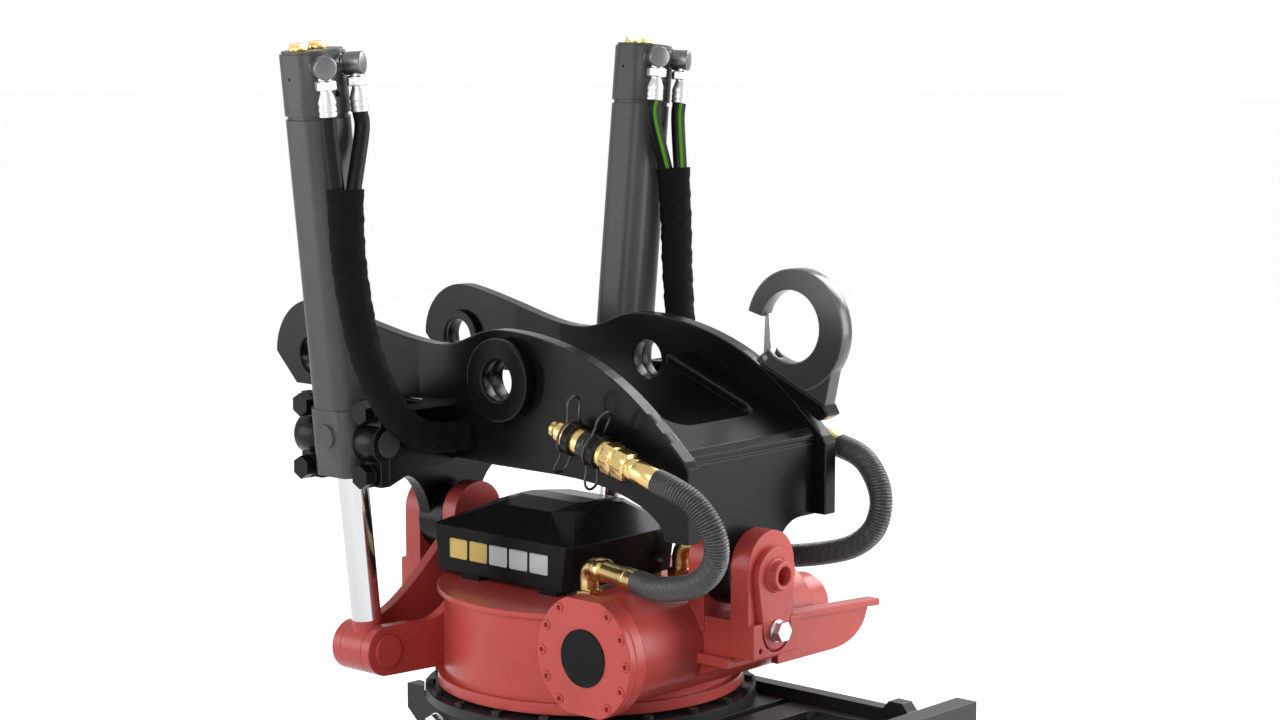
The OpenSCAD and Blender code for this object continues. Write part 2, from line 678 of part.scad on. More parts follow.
module cover_outline() intersection() {
    translate([worm_y, worm_z]) circle(cover_r);
    translate([worm_y - cover_r, worm_z - cover_r + 6]) square([2 * cover_r, 2 * cover_r - 12]);
}

cover_bolt_r = cover_r - 9;
cover_bolt_angles = [for (c = [0, 180], a = [-55:27.5:55]) c + a];

module cover_bolt_places() for (a = cover_bolt_angles)
    translate([-cover_face, worm_y + cover_bolt_r * cos(a), worm_z + cover_bolt_r * sin(a)]) rotate([0, 90, 0]) children();

module worm_cover() color(red_paint) difference() {
    along_x(-cover_face, -cover_face + cover_t) cover_outline();
    cover_bolt_places() translate([0, 0, -eps]) cylinder(d = 14, h = 8 + eps);
}

module cover_bolts() color(steel) cover_bolt_places() difference() {
    translate([0, 0, -1]) cylinder(d = 14, h = 9);
    translate([0, 0, -2]) cylinder(d = 8, h = 6, $fn = 6);
}

pin_end = 14;
retainer_t = 10;

module tilt_pins() color(red_paint) both_ends() translate([0, 0, tilt_z]) rotate([90, 0, 0]) difference() {
    union() {
        translate([0, 0, lug_y0 - 26]) cylinder(d = tilt_pin_d, h = yoke_len - lug_y0 + 26 + retainer_t + eps);
        translate([0, 0, yoke_len + retainer_t]) cylinder(d = tilt_pin_d - 8, h = pin_end);
    }
    translate([0, 0, lug_y0]) cylinder(d = 27, h = yoke_len);
}

retainer_bolt_z = tilt_z - 79;
retainer_r = tilt_pin_d / 2 + 15;
retainer_tail = 27;

module pin_retainers() color(red_paint) both_ends() along_y(-yoke_len - retainer_t, -yoke_len) difference() {
    union() {
        translate([0, tilt_z]) circle(retainer_r);
        translate([0, retainer_bolt_z]) circle(retainer_tail);
        polygon([[-retainer_r, tilt_z - 4], [retainer_r, tilt_z - 4], [retainer_tail, retainer_bolt_z],
            [-retainer_tail, retainer_bolt_z]]);
    }
    translate([0, tilt_z]) circle(d = tilt_pin_d);
}

module retainer_bolts() color(zinc) both_ends() translate([0, -yoke_len - retainer_t, retainer_bolt_z]) rotate([90, 0, 0]) {
    cylinder(d = 32, h = 4);
    hex(26, 16);
}

module lug_pins() color(red_paint) both_sides() for (s = [-1, 1]) {
    y0 = s < 0 ? cyl_y - lug_out : cyl_y + lug_in;
    rod_y(eye_pin_d, y0, y0 + lug_ear_t, eye_x, eye_z);
    rod_y(eye_pin_d + 12, s < 0 ? y0 - 5 : y0 + lug_ear_t, s < 0 ? y0 : y0 + lug_ear_t + 5, eye_x, eye_z);
}

module hydraulic_motor() color(red_paint) difference() {
    union() {
        rod_x(2 * motor_r + 20, motor_x0, motor_x0 + 18, worm_y, worm_z);
        rod_x(2 * motor_r, motor_x0 + 17, motor_x0 + motor_len - 10, worm_y, worm_z);
        rod_x(2 * motor_r - 12, motor_x0 + motor_len - 11, motor_x0 + motor_len, worm_y, worm_z);
        translate([motor_x0 + 24, worm_y + motor_r - 14, worm_z - 18]) cube([44, 24, 36]);
    }
    rod_x(worm_journal_d + 4, motor_x0 - eps, motor_x0 + 26, worm_y, worm_z);
}

module motor_guard() color(red_paint) {
    guard_y = 48 - yoke_len;
    tip = [motor_x0 + 82, worm_z + 10];
    foot = [rib_half, worm_z - 38];
    blade_t = 12;
    lip = 22;
    along_y(guard_y - blade_t, guard_y) polygon(concat([foot, foot + [0, 74], tip + [0, 12], tip],
        bezier(tip + [-16, 0], tip + [-24, -30], tip + [-50, -48], tip + [-100, -49])));
    along_y(guard_y - lip, guard_y - blade_t) polygon([foot + [20, 63], foot + [20, 72.5], tip + [0, 12], tip + [0, 2]]);
    difference() {
        translate([motor_x0 - 40, guard_y - eps, worm_z - 30]) cube([24, worm_y - guard_y, 24]);
        rod_x(2 * tunnel_r, motor_x0 - 60, motor_x0, worm_y, worm_z);
    }
}

module cover_layer(x, y0, y1, cut, z) translate([0, 0, z]) linear_extrude(0.1) polygon([
    [-x, y0 + cut], [-x + cut, y0], [x - cut, y0], [x, y0 + cut], [x, y1 - cut], [x - cut, y1], [-x + cut, y1], [-x, y1 - cut]]);

cover_half = 118;
cover_lift = 9;
cover_waist = 76;
cover_wall = 5;

module cover_form(wall) hull() {
    cover_layer(cover_half - wall, -60 + wall, 208 - wall, 8, case_top + cover_lift - (wall > 0 ? eps : 0));
    cover_layer(cover_half - wall, -70 + wall, 216 - wall, 8, case_top + cover_waist - wall / 2);
    cover_layer(78 - wall, -18 + wall, 140 - wall, 24, case_top + valve_cover_h - 6 - wall);
    cover_layer(20, wall, 130 - wall, 8, case_top + valve_cover_h - wall);
}

module valve_cover() color(black_paint) {
    difference() {
        cover_form(0);
        cover_form(cover_wall);
    }
    for (x = [-1, 1], y = [-40, 120]) translate([x * (cover_half - 13) - 9, y, case_top]) cube([18, 36, 2 * cover_lift]);
}

module valve_block() color(steel) difference() {
    translate([-52, -36, case_top]) cube([104, 150, 62]);
    along_z(case_top - eps, case_top + 26) circle(stem_r + run);
}

module block_elbows() color(brass) both_sides() translate(elbow_place) {
    sphere(d = elbow_d, $fn = 32);
    rotate([90, 0, elbow_turn]) {
        cylinder(d = elbow_d, h = elbow_len);
        translate([0, 0, 26]) cylinder(d = elbow_d + 5, h = 20);
        translate([0, 0, elbow_len - 34]) cylinder(d = elbow_d + 3, h = 34);
    }
    translate([0, 0, case_top - elbow_place[2]]) {
        cylinder(d = elbow_d - 2, h = elbow_place[2] - case_top);
        hex(36, 18);
    }
}

module worm_bearings() color(steel) for (x = [-175, 150]) translate([x, worm_y, worm_z]) rotate([0, 90, 0])
    ring(tunnel_bore_d, worm_journal_d + 2 * run, 25);

module slew_ring() color(steel) along_z(case_low + 10, wheel_z0 - 20) difference() {
    circle(ring_r);
    circle(hub_r + run);
}

// Worm drive

module worm_section() {
    root = worm_pitch_r - tooth_in + 1;
    tip = worm_pitch_r + tooth_out;
    polygon([for (i = [0:23]) let(a = i * 15, off = abs(((a + 180) % 360) - 180), k = max(0, min(1, (80 - off) / 35)))
        (root + (tip - root) * k) * [cos(a + 90), sin(a + 90)]]);
}

module worm() color(steel) translate([0, worm_y, worm_z]) rotate([0, 90, 0]) {
    thread_len = 5 * lead;
    turn = 360 * thread_len / lead;
    rotate(-turn / 2) translate([0, 0, -thread_len / 2])
        linear_extrude(thread_len, twist = -turn, slices = 50, $fn = 12) worm_section();
    translate([0, 0, -185]) cylinder(d = worm_journal_d, h = 185 - thread_len / 2);
    translate([0, 0, thread_len / 2]) cylinder(d = worm_journal_d, h = motor_x0 + 22 - thread_len / 2);
}

module worm_wheel() color(steel) along_z(wheel_z0, wheel_z1) difference() {
    polygon([for (i = [0:wheel_teeth - 1]) let(a = -90 + (i + 0.5) * 360 / wheel_teeth)
        for (p = [[-0.30, -tooth_in], [-0.16, tooth_out], [0.16, tooth_out], [0.30, -tooth_in]])
            (wheel_pitch_r + p[1]) * [cos(a + p[0] * 360 / wheel_teeth), sin(a + p[0] * 360 / wheel_teeth)]]);
    circle(60);
}

module turntable() color(steel) {
    along_z(coupler_top, turntable_top) circle(turntable_r);
    for (a = [9:18:351]) rotate(a) translate([turntable_r - 8.5, 0, turntable_top - eps]) hex(13, 8);
    along_z(turntable_top - eps, wheel_z0 - 20) circle(hub_r);
    along_z(wheel_z0 - 21, wheel_z0) circle(110);
    along_z(wheel_z0 - eps, wheel_z1) circle(60);
    along_z(wheel_z1 - eps, case_top + 24) circle(stem_r);
}

// Quick coupler

frame_bolt_z = coupler_top - 36;
side_top = turntable_top;
lip_top = case_low + 24;

module coupler_bolts() color(zinc) both_sides() for (y = [rear_y - 66, -150, -300])
    translate([coupler_half, y, frame_bolt_z]) rotate([0, 90, 0]) {
        cylinder(d = 32, h = 3);
        hex(26, 14);
    }

module coupler_outline() {
    r = tool_pin_d / 2;
    nose_y = claw_y - 130;
    difference() {
        polygon(concat([[rear_y, 0], [rear_y, 70], [rear_y - 40, 110], [rear_y - 40, side_top - 72],
            [rear_y, side_top - 37], [rear_y, side_top], [claw_y + 22, side_top], [claw_y + 12, side_top + 12],
            [claw_y - 12, side_top + 12], [claw_y - 22, side_top]],
            bezier([nose_y + 40, side_top], [nose_y + 20, side_top], [nose_y, side_top - 20],
                [nose_y - 4, tool_pin_z + r + 36]),
            [[nose_y, tool_pin_z + r + 14], [claw_y - 60, tool_pin_z + r], [claw_y - 60, tool_pin_z - r],
                [claw_y - 44, 14], [claw_y - 20, 0], [claw_y + 90, 0]],
            bezier([claw_y + 90, 0], [claw_y + 150, 70], [saddle_y - 150, 70], [saddle_y - 62, 40])));
        translate([claw_y, tool_pin_z]) circle(r);
        translate([claw_y - 100, tool_pin_z - r]) square([100, 2 * r]);
        translate([saddle_y, tool_pin_z]) circle(r);
        translate([saddle_y - r, -eps]) square([2 * r, tool_pin_z + eps]);
        translate([saddle_y - 90, -eps]) square([90 + r, 36]);
    }
}

module coupler_frame() color(black_paint) difference() {
    in_x = coupler_half - coupler_t;
    union() {
        both_sides() along_x(in_x, coupler_half) coupler_outline();
        translate([-coupler_half, claw_y - 124, side_top - 42]) cube([2 * coupler_half, 34, lip_top - side_top + 42]);
        difference() {
            translate([-in_x - eps, -turntable_r, coupler_top - 18]) cube([2 * in_x + 2 * eps, turntable_r + rear_y - 40, 18]);
            along_z(0, coupler_top + eps) circle(80);
        }
        difference() {
            translate([-in_x - eps, claw_y - 90, turntable_top - 34]) cube([2 * in_x + 2 * eps, 270, 18]);
            for (x = [-1, 1]) along_z(0, 2 * coupler_top) translate([x * 80, claw_y + 70]) round_rect(110, 120, 12);
        }
        translate([-in_x - eps, claw_y + tool_pin_d / 2 + 30, 20]) cube([2 * in_x + 2 * eps, 40, coupler_top - 60]);
        translate([-in_x - eps, saddle_y + 66, 0]) cube([2 * in_x + 2 * eps, rear_y - saddle_y - 70, 2 * lock_z]);
    }
    for (x = [-1, 1]) rod_y(lock_bar_d + 2 * run, saddle_y, rear_y + 20, x * lock_x, lock_z);
    rod_y(46, saddle_y, rear_y + 20, 0, lock_z);
    along_z(coupler_top, 2 * case_low) circle(turntable_r + 1.5);
}

module lock_cylinder() color(steel) difference() {
    rod_y(46, saddle_y + 40, rear_y - 4, 0, lock_z);
    rod_y(22, saddle_y + 60, rear_y, 0, lock_z);
}

module lock_bars() color(steel) {
    for (x = [-1, 1]) rod_y(lock_bar_d, saddle_y - tool_pin_d / 2, rear_y + gap + eps, x * lock_x, lock_z);
    translate([-lock_x - 24, rear_y + gap, lock_z - 18]) cube([2 * lock_x + 48, 16, 36]);
    rod_y(21.6, saddle_y + 70, rear_y + gap + eps, 0, lock_z);
}

// Hoses

module main_hose(s) side(s) tube(main_route, main_hose_d, [1, 0, 0]);
module main_hose_left() color(rubber) main_hose(-1);
module main_hose_right() color(rubber) main_hose(1);

module tilt_hoses(s) {
    side(s) tube(tilt_route, sleeve_d, [0, 1, 0]);
    for (x = [-1, 1]) tube(concat([below_ferrule(s, x, gap)], bezier(below_ferrule(s, x, 4), below_ferrule(s, x, 50),
        in_sleeve(s, x, 40), in_sleeve(s, x, -12), 8)), hose_d, [0, 1, 0]);
}
module tilt_hoses_left() color(rubber) tilt_hoses(-1);
module tilt_hoses_right() color(rubber) tilt_hoses(1);

hitch_side_plate_left();
hitch_side_plate_right();
stick_pin_bosses();
link_pin_bosses();
hitch_front_plate();
hitch_rear_plate();
hitch_top_plate();
hitch_base_plate();
tilt_bushes();
trunnion_bracket_left();
trunnion_bracket_right();
trunnion_caps();
trunnion_cap_bolts();
hook_bracket();
lifting_hook();
hook_latch();
latch_pin();
quick_couplings();
coupling_clamps();
barrel_left();
barrel_right();
cylinder_head_left();
cylinder_head_right();
trunnion_collar_left();
trunnion_collar_right();
head_plugs_left();
head_plugs_right();
head_elbows_left();
head_elbows_right();
piston_rod_left();
piston_rod_right();
piston_left();
piston_right();
rod_eye_left();
rod_eye_right();
gear_housing();
worm_cover();
cover_bolts();
tilt_pins();
pin_retainers();
retainer_bolts();
lug_pins();
hydraulic_motor();
motor_guard();
valve_cover();
valve_block();
block_elbows();
worm_bearings();
slew_ring();
worm();
worm_wheel();
turntable();
coupler_bolts();
coupler_frame();
lock_cylinder();
lock_bars();
main_hose_left();
main_hose_right();
tilt_hoses_left();
tilt_hoses_right();
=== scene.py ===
"""Studio picture of an excavator tilt rotator: finishes, hoses and small fittings on the CAD frame."""

from __future__ import annotations

import logging
import math
from dataclasses import dataclass
from enum import Enum
from typing import Callable, Sequence

import bpy
from mathutils import Matrix, Vector


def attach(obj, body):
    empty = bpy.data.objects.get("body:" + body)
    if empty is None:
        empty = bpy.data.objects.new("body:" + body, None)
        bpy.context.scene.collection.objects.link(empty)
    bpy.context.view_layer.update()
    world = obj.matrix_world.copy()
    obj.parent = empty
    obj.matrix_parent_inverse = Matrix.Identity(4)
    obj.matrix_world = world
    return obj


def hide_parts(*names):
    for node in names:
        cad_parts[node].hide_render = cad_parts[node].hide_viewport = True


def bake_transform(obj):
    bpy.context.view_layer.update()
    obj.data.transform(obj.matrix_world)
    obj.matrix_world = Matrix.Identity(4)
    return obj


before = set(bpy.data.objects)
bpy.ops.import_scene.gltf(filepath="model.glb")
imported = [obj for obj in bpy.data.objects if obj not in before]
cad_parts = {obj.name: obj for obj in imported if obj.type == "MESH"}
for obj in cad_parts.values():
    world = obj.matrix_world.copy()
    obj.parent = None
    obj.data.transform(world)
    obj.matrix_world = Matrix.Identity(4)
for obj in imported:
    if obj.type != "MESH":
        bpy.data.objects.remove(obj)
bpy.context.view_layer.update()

LOG = logging.getLogger("tilt_rotator")
MM = 0.001
TAU = 2.0 * math.pi
SMOOTH_ANGLE = math.radians(32.0)
CURVE_STEPS = 40

Colour = tuple[float, float, float]
Place = tuple[float, float, float]
Row = tuple[float, float] | tuple[float, float, bool]
Socket = bpy.types.NodeSocket
HEX = True


class Side(Enum):
    """The two halves of the tool, seen from its front."""

    LEFT = -1
    RIGHT = 1

    @property
    def suffix(self) -> str:
        """The ending of this side's node and body names."""
        return self.name.lower()


class Way(Enum):
    """How a finish's fine lines run."""

    NONE = "none"
    TURNED = "turned"
    DRAWN = "drawn"


def mm(x: float, y: float, z: float) -> Vector:
    """A point given in millimetres, in metres."""
    return Vector((x, y, z)) * MM


class Shader:
    """The node tree of one material, with short calls to add and join nodes."""

    def __init__(self, name: str) -> None:
        """Starts a material that holds one Principled shader.

        Args:
            name: The material's name.
        """
        self.material = bpy.data.materials.new(name)
        self.material.use_nodes = True
        self.nodes = self.material.node_tree.nodes
        self.links = self.material.node_tree.links
        self.surface = next(n for n in self.nodes if n.type == "BSDF_PRINCIPLED")
        self.place = self.add("ShaderNodeTexCoord").outputs["Object"]

    def add(self, kind: str, inputs: dict | None = None, **settings: object) -> bpy.types.Node:
        """Adds one node.

        Args:
            kind: Blender's name of the node type.
            inputs: Values or sockets for the node's inputs, by name or number.
            settings: Properties of the node itself.

        Returns:
            The new node.
        """
        node = self.nodes.new(kind)
        for key, value in settings.items():
            setattr(node, key, value)
        for key, value in (inputs or {}).items():
            self.feed(node.inputs[key], value)
        return node

    def feed(self, socket: Socket, value: object) -> None:
        """Links a socket to an output, or sets its plain value."""
        if isinstance(value, Socket):
            self.links.new(value, socket)
        else:
            socket.default_value = value

    def noise(self, scale: float, detail: float = 2.0, place: Socket | None = None) -> Socket:
        """A noise value from 0 to 1, with scale in cells per metre."""
        inputs = {"Vector": place or self.place, "Scale": scale, "Detail": detail}
        return self.add("ShaderNodeTexNoise", inputs).outputs[0]

    def spread(self, value: Socket, low: float, high: float,
               start: float = 0.0, end: float = 1.0) -> Socket:
        """Maps a value that runs from start to end onto low to high."""
        node = self.add("ShaderNodeMapRange", {0: value, 1: start, 2: end, 3: low, 4: high})
        return node.outputs[0]

    def mix(self, share: Socket, first: object, second: object) -> Socket:
        """Mixes two colours, each a colour or a socket, by a share from 0 to 1."""
        node = self.add("ShaderNodeMix", {0: share}, data_type="RGBA")
        for number, value in ((6, first), (7, second)):
            plain = value if isinstance(value, Socket) else (*value, 1.0)
            self.feed(node.inputs[number], plain)
        return node.outputs[2]

    def maths(self, operation: str, first: object, second: object = 0.0) -> Socket:
        """One arithmetic step on two values, each a number or a socket."""
        return self.add("ShaderNodeMath", {0: first, 1: second}, operation=operation).outputs[0]

    def rounded(self, radius: float) -> tuple[Socket, Socket]:
        """Softens sharp edges.

        Args:
            radius: The edge's radius in metres.

        Returns:
            The softened normal, and a value that is 1 on an edge and 0 on a flat.
        """
        normal = self.add("ShaderNodeBevel", {"Radius": radius}, samples=4).outputs[0]
        flat = self.add("ShaderNodeNewGeometry").outputs["Normal"]
        dot = self.add("ShaderNodeVectorMath", {0: normal, 1: flat}, operation="DOT_PRODUCT")
        return normal, self.spread(dot.outputs["Value"], 1.0, 0.0, 0.86, 0.99)

    def bump(self, height: Socket, depth: float, normal: Socket | None = None) -> None:
        """Raises the surface by a height value over a depth in metres."""
        inputs: dict = {"Height": height, "Distance": depth, "Strength": 1.0}
        if normal is not None:
            inputs["Normal"] = normal
        self.feed(self.surface.inputs["Normal"], self.add("ShaderNodeBump", inputs).outputs[0])

    def set(self, **values: object) -> None:
        """Sets inputs of the Principled shader; an underscore in a name stands for a space."""
        for key, value in values.items():
            self.feed(self.surface.inputs[key.replace("_", " ")], value)


@dataclass(frozen=True)
class Paint:
    """Sprayed paint on steel or castings, thinner along its edges and lightened there by a painted
    highlight.
    """

    name: str
    colour: Colour
    roughness: float
    peel: float = 0.00006
    grain: float = 520.0
    edge: float = 0.0016
    edge_gain: float = 1.6
    edge_lift: float = 0.012
    shine: float = 0.25

    def material(self) -> bpy.types.Material:
        """Builds the paint's material."""
        shader = Shader(self.name)
        cloud = shader.noise(7.0, 4.0)
        speck = shader.noise(self.grain, 3.0)
        normal, edge = shader.rounded(self.edge)
        deep = tuple(c * 0.86 for c in self.colour)
        bright = tuple(min(1.0, c * 1.12) for c in self.colour)
        # Lighter edges: partly worn paint, partly a painted highlight where the rounded edges would catch
        # the light.
        worn_and_highlit_edge = tuple(min(1.0, c * self.edge_gain + self.edge_lift) for c in self.colour)
        body = shader.mix(shader.spread(cloud, 0.0, 1.0, 0.3, 0.7), deep, bright)
        shader.set(Base_Color=shader.mix(shader.maths("MULTIPLY", edge, 0.6), body, worn_and_highlit_edge))
        rough = shader.maths("ADD", shader.spread(cloud, -0.05, 0.05), shader.spread(speck, -0.03, 0.03))
        shader.set(Roughness=shader.maths("ADD", rough, self.roughness))
        shader.surface.inputs["Specular IOR Level"].default_value = self.shine
        shader.bump(speck, self.peel, normal)
        return shader.material


@dataclass(frozen=True)
class Metal:
    """Bare or plated metal with fine tool marks."""

    name: str
    colour: Colour
    roughness: float
    way: Way = Way.NONE
    lines: float = 900.0
    depth: float = 0.00002
    edge: float = 0.0008
    stain: float = 0.12

    def material(self) -> bpy.types.Material:
        """Builds the metal's material."""
        shader = Shader(self.name)
        cloud = shader.noise(24.0, 4.0)
        normal, edge = shader.rounded(self.edge)
        dull = tuple(c * (1.0 - self.stain) for c in self.colour)
        bright = tuple(min(1.0, c * 1.08 + 0.02) for c in self.colour)
        # The mix towards bright on the edge mask is a painted highlight along the metal's edges.
        shader.set(Base_Color=shader.mix(edge, shader.mix(cloud, dull, self.colour), bright))
        shader.surface.inputs["Metallic"].default_value = 1.0
        if self.way is Way.NONE:
            marks = shader.noise(self.lines, 2.0)
        else:
            stretch = (1.0, 1.0, 0.02) if self.way is Way.DRAWN else (0.02, 1.0, 0.02)
            place = shader.add("ShaderNodeMapping", {"Vector": shader.place, "Scale": stretch}).outputs[0]
            marks = shader.noise(self.lines, 2.0, place)
        rough = shader.maths("ADD", shader.spread(marks, -0.05, 0.05), shader.spread(cloud, -0.04, 0.04))
        shader.set(Roughness=shader.maths("ADD", rough, self.roughness))
        shader.bump(marks, self.depth, normal)
        return shader.material


@dataclass(frozen=True)
class Rubber:
    """Moulded rubber or plastic, with an optional coloured line along a hose."""

    name: str
    colour: Colour
    roughness: float
    grain: float = 700.0
    depth: float = 0.00008
    line: Colour | None = None
    line_width: float = 0.085
    shine: float = 0.5

    def material(self) -> bpy.types.Material:
        """Builds the rubber's material; a line follows the hose's own coordinates."""
        shader = Shader(self.name)
        cloud = shader.noise(18.0, 3.0)
        speck = shader.noise(self.grain, 3.0)
        dusty = tuple(c * 1.5 + 0.004 for c in self.colour)
        body = shader.mix(shader.spread(cloud, 0.0, 0.7), self.colour, dusty)
        if self.line is not None:
            parts = shader.add("ShaderNodeSeparateXYZ", {0: shader.add("ShaderNodeUVMap").outputs[0]})
            around = parts.outputs[0]
            off = shader.maths("ABSOLUTE", shader.maths("SUBTRACT", around, 0.5))
            half = self.line_width / 2
            body = shader.mix(shader.spread(off, 1.0, 0.0, half - 0.004, half + 0.004), body, self.line)
        rough = shader.spread(speck, self.roughness - 0.08, self.roughness + 0.08)
        shader.set(Base_Color=body, Roughness=rough)
        shader.surface.inputs["Specular IOR Level"].default_value = self.shine
        shader.bump(speck, self.depth)
        return shader.material


@dataclass(frozen=True)
class Braid:
    """Woven protective sleeve over a pair of hoses."""

    name: str
    colour: Colour
    threads_round: float = 46.0
    threads_long: float = 520.0
    depth: float = 0.0006
    shine: float = 0.06

    def material(self) -> bpy.types.Material:
        """Builds the sleeve's material from two crossing sets of threads in its own coordinates."""
        shader = Shader(self.name)
        parts = shader.add("ShaderNodeSeparateXYZ", {0: shader.add("ShaderNodeUVMap").outputs[0]})
        warp = shader.maths("MULTIPLY", parts.outputs[0], self.threads_round * TAU)
        weft = shader.maths("MULTIPLY", parts.outputs[1], self.threads_long * TAU)
        first = shader.maths("SINE", shader.maths("ADD", warp, weft))
        second = shader.maths("SINE", shader.maths("SUBTRACT", warp, weft))
        weave = shader.spread(shader.maths("MAXIMUM", first, second), 0.0, 1.0, -1.0, 1.0)
        cloud = shader.noise(30.0, 4.0)
        light = tuple(c * 2.2 + 0.004 for c in self.colour)
        tone = shader.maths("MULTIPLY", weave, shader.spread(cloud, 0.35, 1.0))
        body = shader.mix(tone, self.colour, light)
        shader.set(Base_Color=body, Roughness=shader.spread(weave, 0.85, 0.62))
        shader.surface.inputs["Specular IOR Level"].default_value = self.shine
        shader.bump(weave, self.depth)
        return shader.material


Finish = Paint | Metal | Rubber | Braid

# The edge lifts and gains below lighten each paint's edges: partly wear, mostly a painted highlight,
# strongest on the hook.
BLACK_PAINT = Paint("black_paint", (0.005, 0.005, 0.0055), 0.24, edge=0.0026, edge_lift=0.11, shine=0.11)
HOOK_PAINT = Paint("hook_paint", (0.045, 0.045, 0.046), 0.24, edge=0.004, edge_lift=0.25, shine=0.50)
CYLINDER_PAINT = Paint("cylinder_paint", (0.060, 0.060, 0.062), 0.36, edge_lift=0.05, shine=0.2)
RED_PAINT = Paint("red_paint", (0.47, 0.064, 0.054), 0.32, peel=0.00010, grain=300.0, edge=0.003,
                  edge_gain=1.25, shine=0.28)
COVER_SHELL = Paint("cover_shell", (0.008, 0.008, 0.008), 0.20, peel=0.00003, grain=900.0, edge=0.003,
                    shine=0.06)
COUPLER_PAINT = Paint("coupler_paint", (0.014, 0.014, 0.015), 0.34, peel=0.00012, grain=300.0)
BOLT_BLACK = Paint("bolt_black", (0.004, 0.004, 0.004), 0.30, edge=0.0012, edge_lift=0.03, shine=0.1)
TURNTABLE_PAINT = Paint("turntable_paint", (0.014, 0.014, 0.015), 0.45)
BRASS = Metal("brass_fittings", (0.66, 0.49, 0.20), 0.25, Way.TURNED, depth=0.000008)
CHROME = Metal("rod_chrome", (0.50, 0.51, 0.52), 0.12, Way.TURNED, depth=0.000004, stain=0.03)
ZINC = Metal("zinc_plate", (0.60, 0.61, 0.62), 0.34, stain=0.08)
DARK_STEEL = Metal("dark_steel", (0.16, 0.16, 0.165), 0.36)
STEEL = Metal("machined_steel", (0.44, 0.45, 0.46), 0.36, Way.TURNED)
BAND_STEEL = Metal("band_steel", (0.035, 0.035, 0.037), 0.34)
WIRE = Metal("clip_wire", (0.06, 0.06, 0.062), 0.38)
GUARD = Rubber("spring_guard", (0.036, 0.036, 0.037), 0.40, depth=0.00004)
PLAIN_HOSE = Rubber("plain_hose", (0.004, 0.004, 0.004), 0.42, line=(0.02, 0.04, 0.012),
                    line_width=0.06, shine=0.12)
LINED_HOSE = Rubber("lined_hose", (0.004, 0.004, 0.004), 0.42, line=(0.06, 0.25, 0.010),
                    line_width=0.075, shine=0.12)
SLEEVE = Braid("hose_sleeve", (0.003, 0.003, 0.003))
GOLD_PLATE = Metal("gold_plate", (0.36, 0.26, 0.085), 0.34, Way.DRAWN, stain=0.2)
SILVER_PLATE = Metal("silver_plate", (0.34, 0.345, 0.35), 0.34, Way.DRAWN, stain=0.15)
DISC_ENAMEL = Paint("disc_enamel", (0.004, 0.004, 0.004), 0.22, peel=0.00002, grain=900.0, edge=0.0006,
                    shine=0.1)

NODE_FINISHES: dict[Paint | Metal, tuple[str, ...]] = {
    BLACK_PAINT: (
        "hitch_side_plate_left", "hitch_side_plate_right", "stick_pin_bosses", "link_pin_bosses",
        "hitch_front_plate", "hitch_rear_plate", "hitch_top_plate", "hitch_base_plate",
        "trunnion_bracket_left", "trunnion_bracket_right", "trunnion_caps", "hook_bracket",
        "coupling_clamps"),
    HOOK_PAINT: ("lifting_hook",),
    CYLINDER_PAINT: (
        "barrel_left", "barrel_right", "cylinder_head_left", "cylinder_head_right", "trunnion_collar_left",
        "trunnion_collar_right"),
    RED_PAINT: (
        "rod_eye_left", "rod_eye_right", "gear_housing", "worm_cover", "tilt_pins", "pin_retainers",
        "lug_pins", "hydraulic_motor", "motor_guard", "cover_bolts"),
    COVER_SHELL: ("valve_cover",),
    COUPLER_PAINT: ("coupler_frame",),
    BOLT_BLACK: ("trunnion_cap_bolts",),
    TURNTABLE_PAINT: ("turntable",),
    BRASS: ("tilt_bushes", "head_plugs_left", "head_plugs_right"),
    ZINC: ("hook_latch", "latch_pin", "retainer_bolts", "coupler_bolts"),
    CHROME: ("piston_rod_left", "piston_rod_right"),
    STEEL: (
        "piston_left", "piston_right", "valve_block", "worm_bearings", "slew_ring", "worm", "worm_wheel",
        "lock_cylinder", "lock_bars"),
}


class Finishes:
    """Makes each finish's material once."""

    made: dict[str, bpy.types.Material] = {}

    @classmethod
    def of(cls, finish: Finish) -> bpy.types.Material:
        """The material of a finish."""
        if finish.name not in cls.made:
            cls.made[finish.name] = finish.material()
        return cls.made[finish.name]

    @classmethod
    def dress(cls, piece: bpy.types.Object, finish: Finish) -> None:
        """Gives a piece one finish all over."""
        piece.data.materials.clear()
        piece.data.materials.append(cls.of(finish))


def new_piece(name: str, points: Sequence[Vector], faces: Sequence[Sequence[int]],
              marks: Sequence[tuple[float, float]] | None = None) -> bpy.types.Object:
    """Makes a mesh piece with smooth curves and sharp corners.

    Args:
        name: The piece's name.
        points: Its corners, in metres.
        faces: Each face's corners by number.
        marks: Surface coordinates of each face's corners, one after another.

    Returns:
        The new object, linked to the scene.
    """
    mesh = bpy.data.meshes.new(name)
    mesh.from_pydata([tuple(p) for p in points], [], [tuple(f) for f in faces])
    if marks is not None:
        layer = mesh.uv_layers.new(name="route")
        layer.data.foreach_set("uv", [v for pair in marks for v in pair])
    mesh.polygons.foreach_set("use_smooth", [True] * len(mesh.polygons))
    mesh.set_sharp_from_angle(angle=SMOOTH_ANGLE)
    mesh.update()
    piece = bpy.data.objects.new(name, mesh)
    bpy.context.scene.collection.objects.link(piece)
    return piece


def ring_faces(rings: int, sides: int) -> list[tuple[int, ...]]:
    """The faces of a closed tube: the sides ring by ring, then the first and the last end.

    Args:
        rings: How many rings of points the tube has.
        sides: How many points are on each ring.

    Returns:
        Each face's corners by number.
    """
    faces: list[tuple[int, ...]] = []
    for low in range(0, (rings - 1) * sides, sides):
        for k in range(sides):
            m = (k + 1) % sides
            faces.append((low + k, low + m, low + sides + m, low + sides + k))
    last = (rings - 1) * sides
    return faces + [tuple(range(sides - 1, -1, -1)), tuple(range(last, last + sides))]


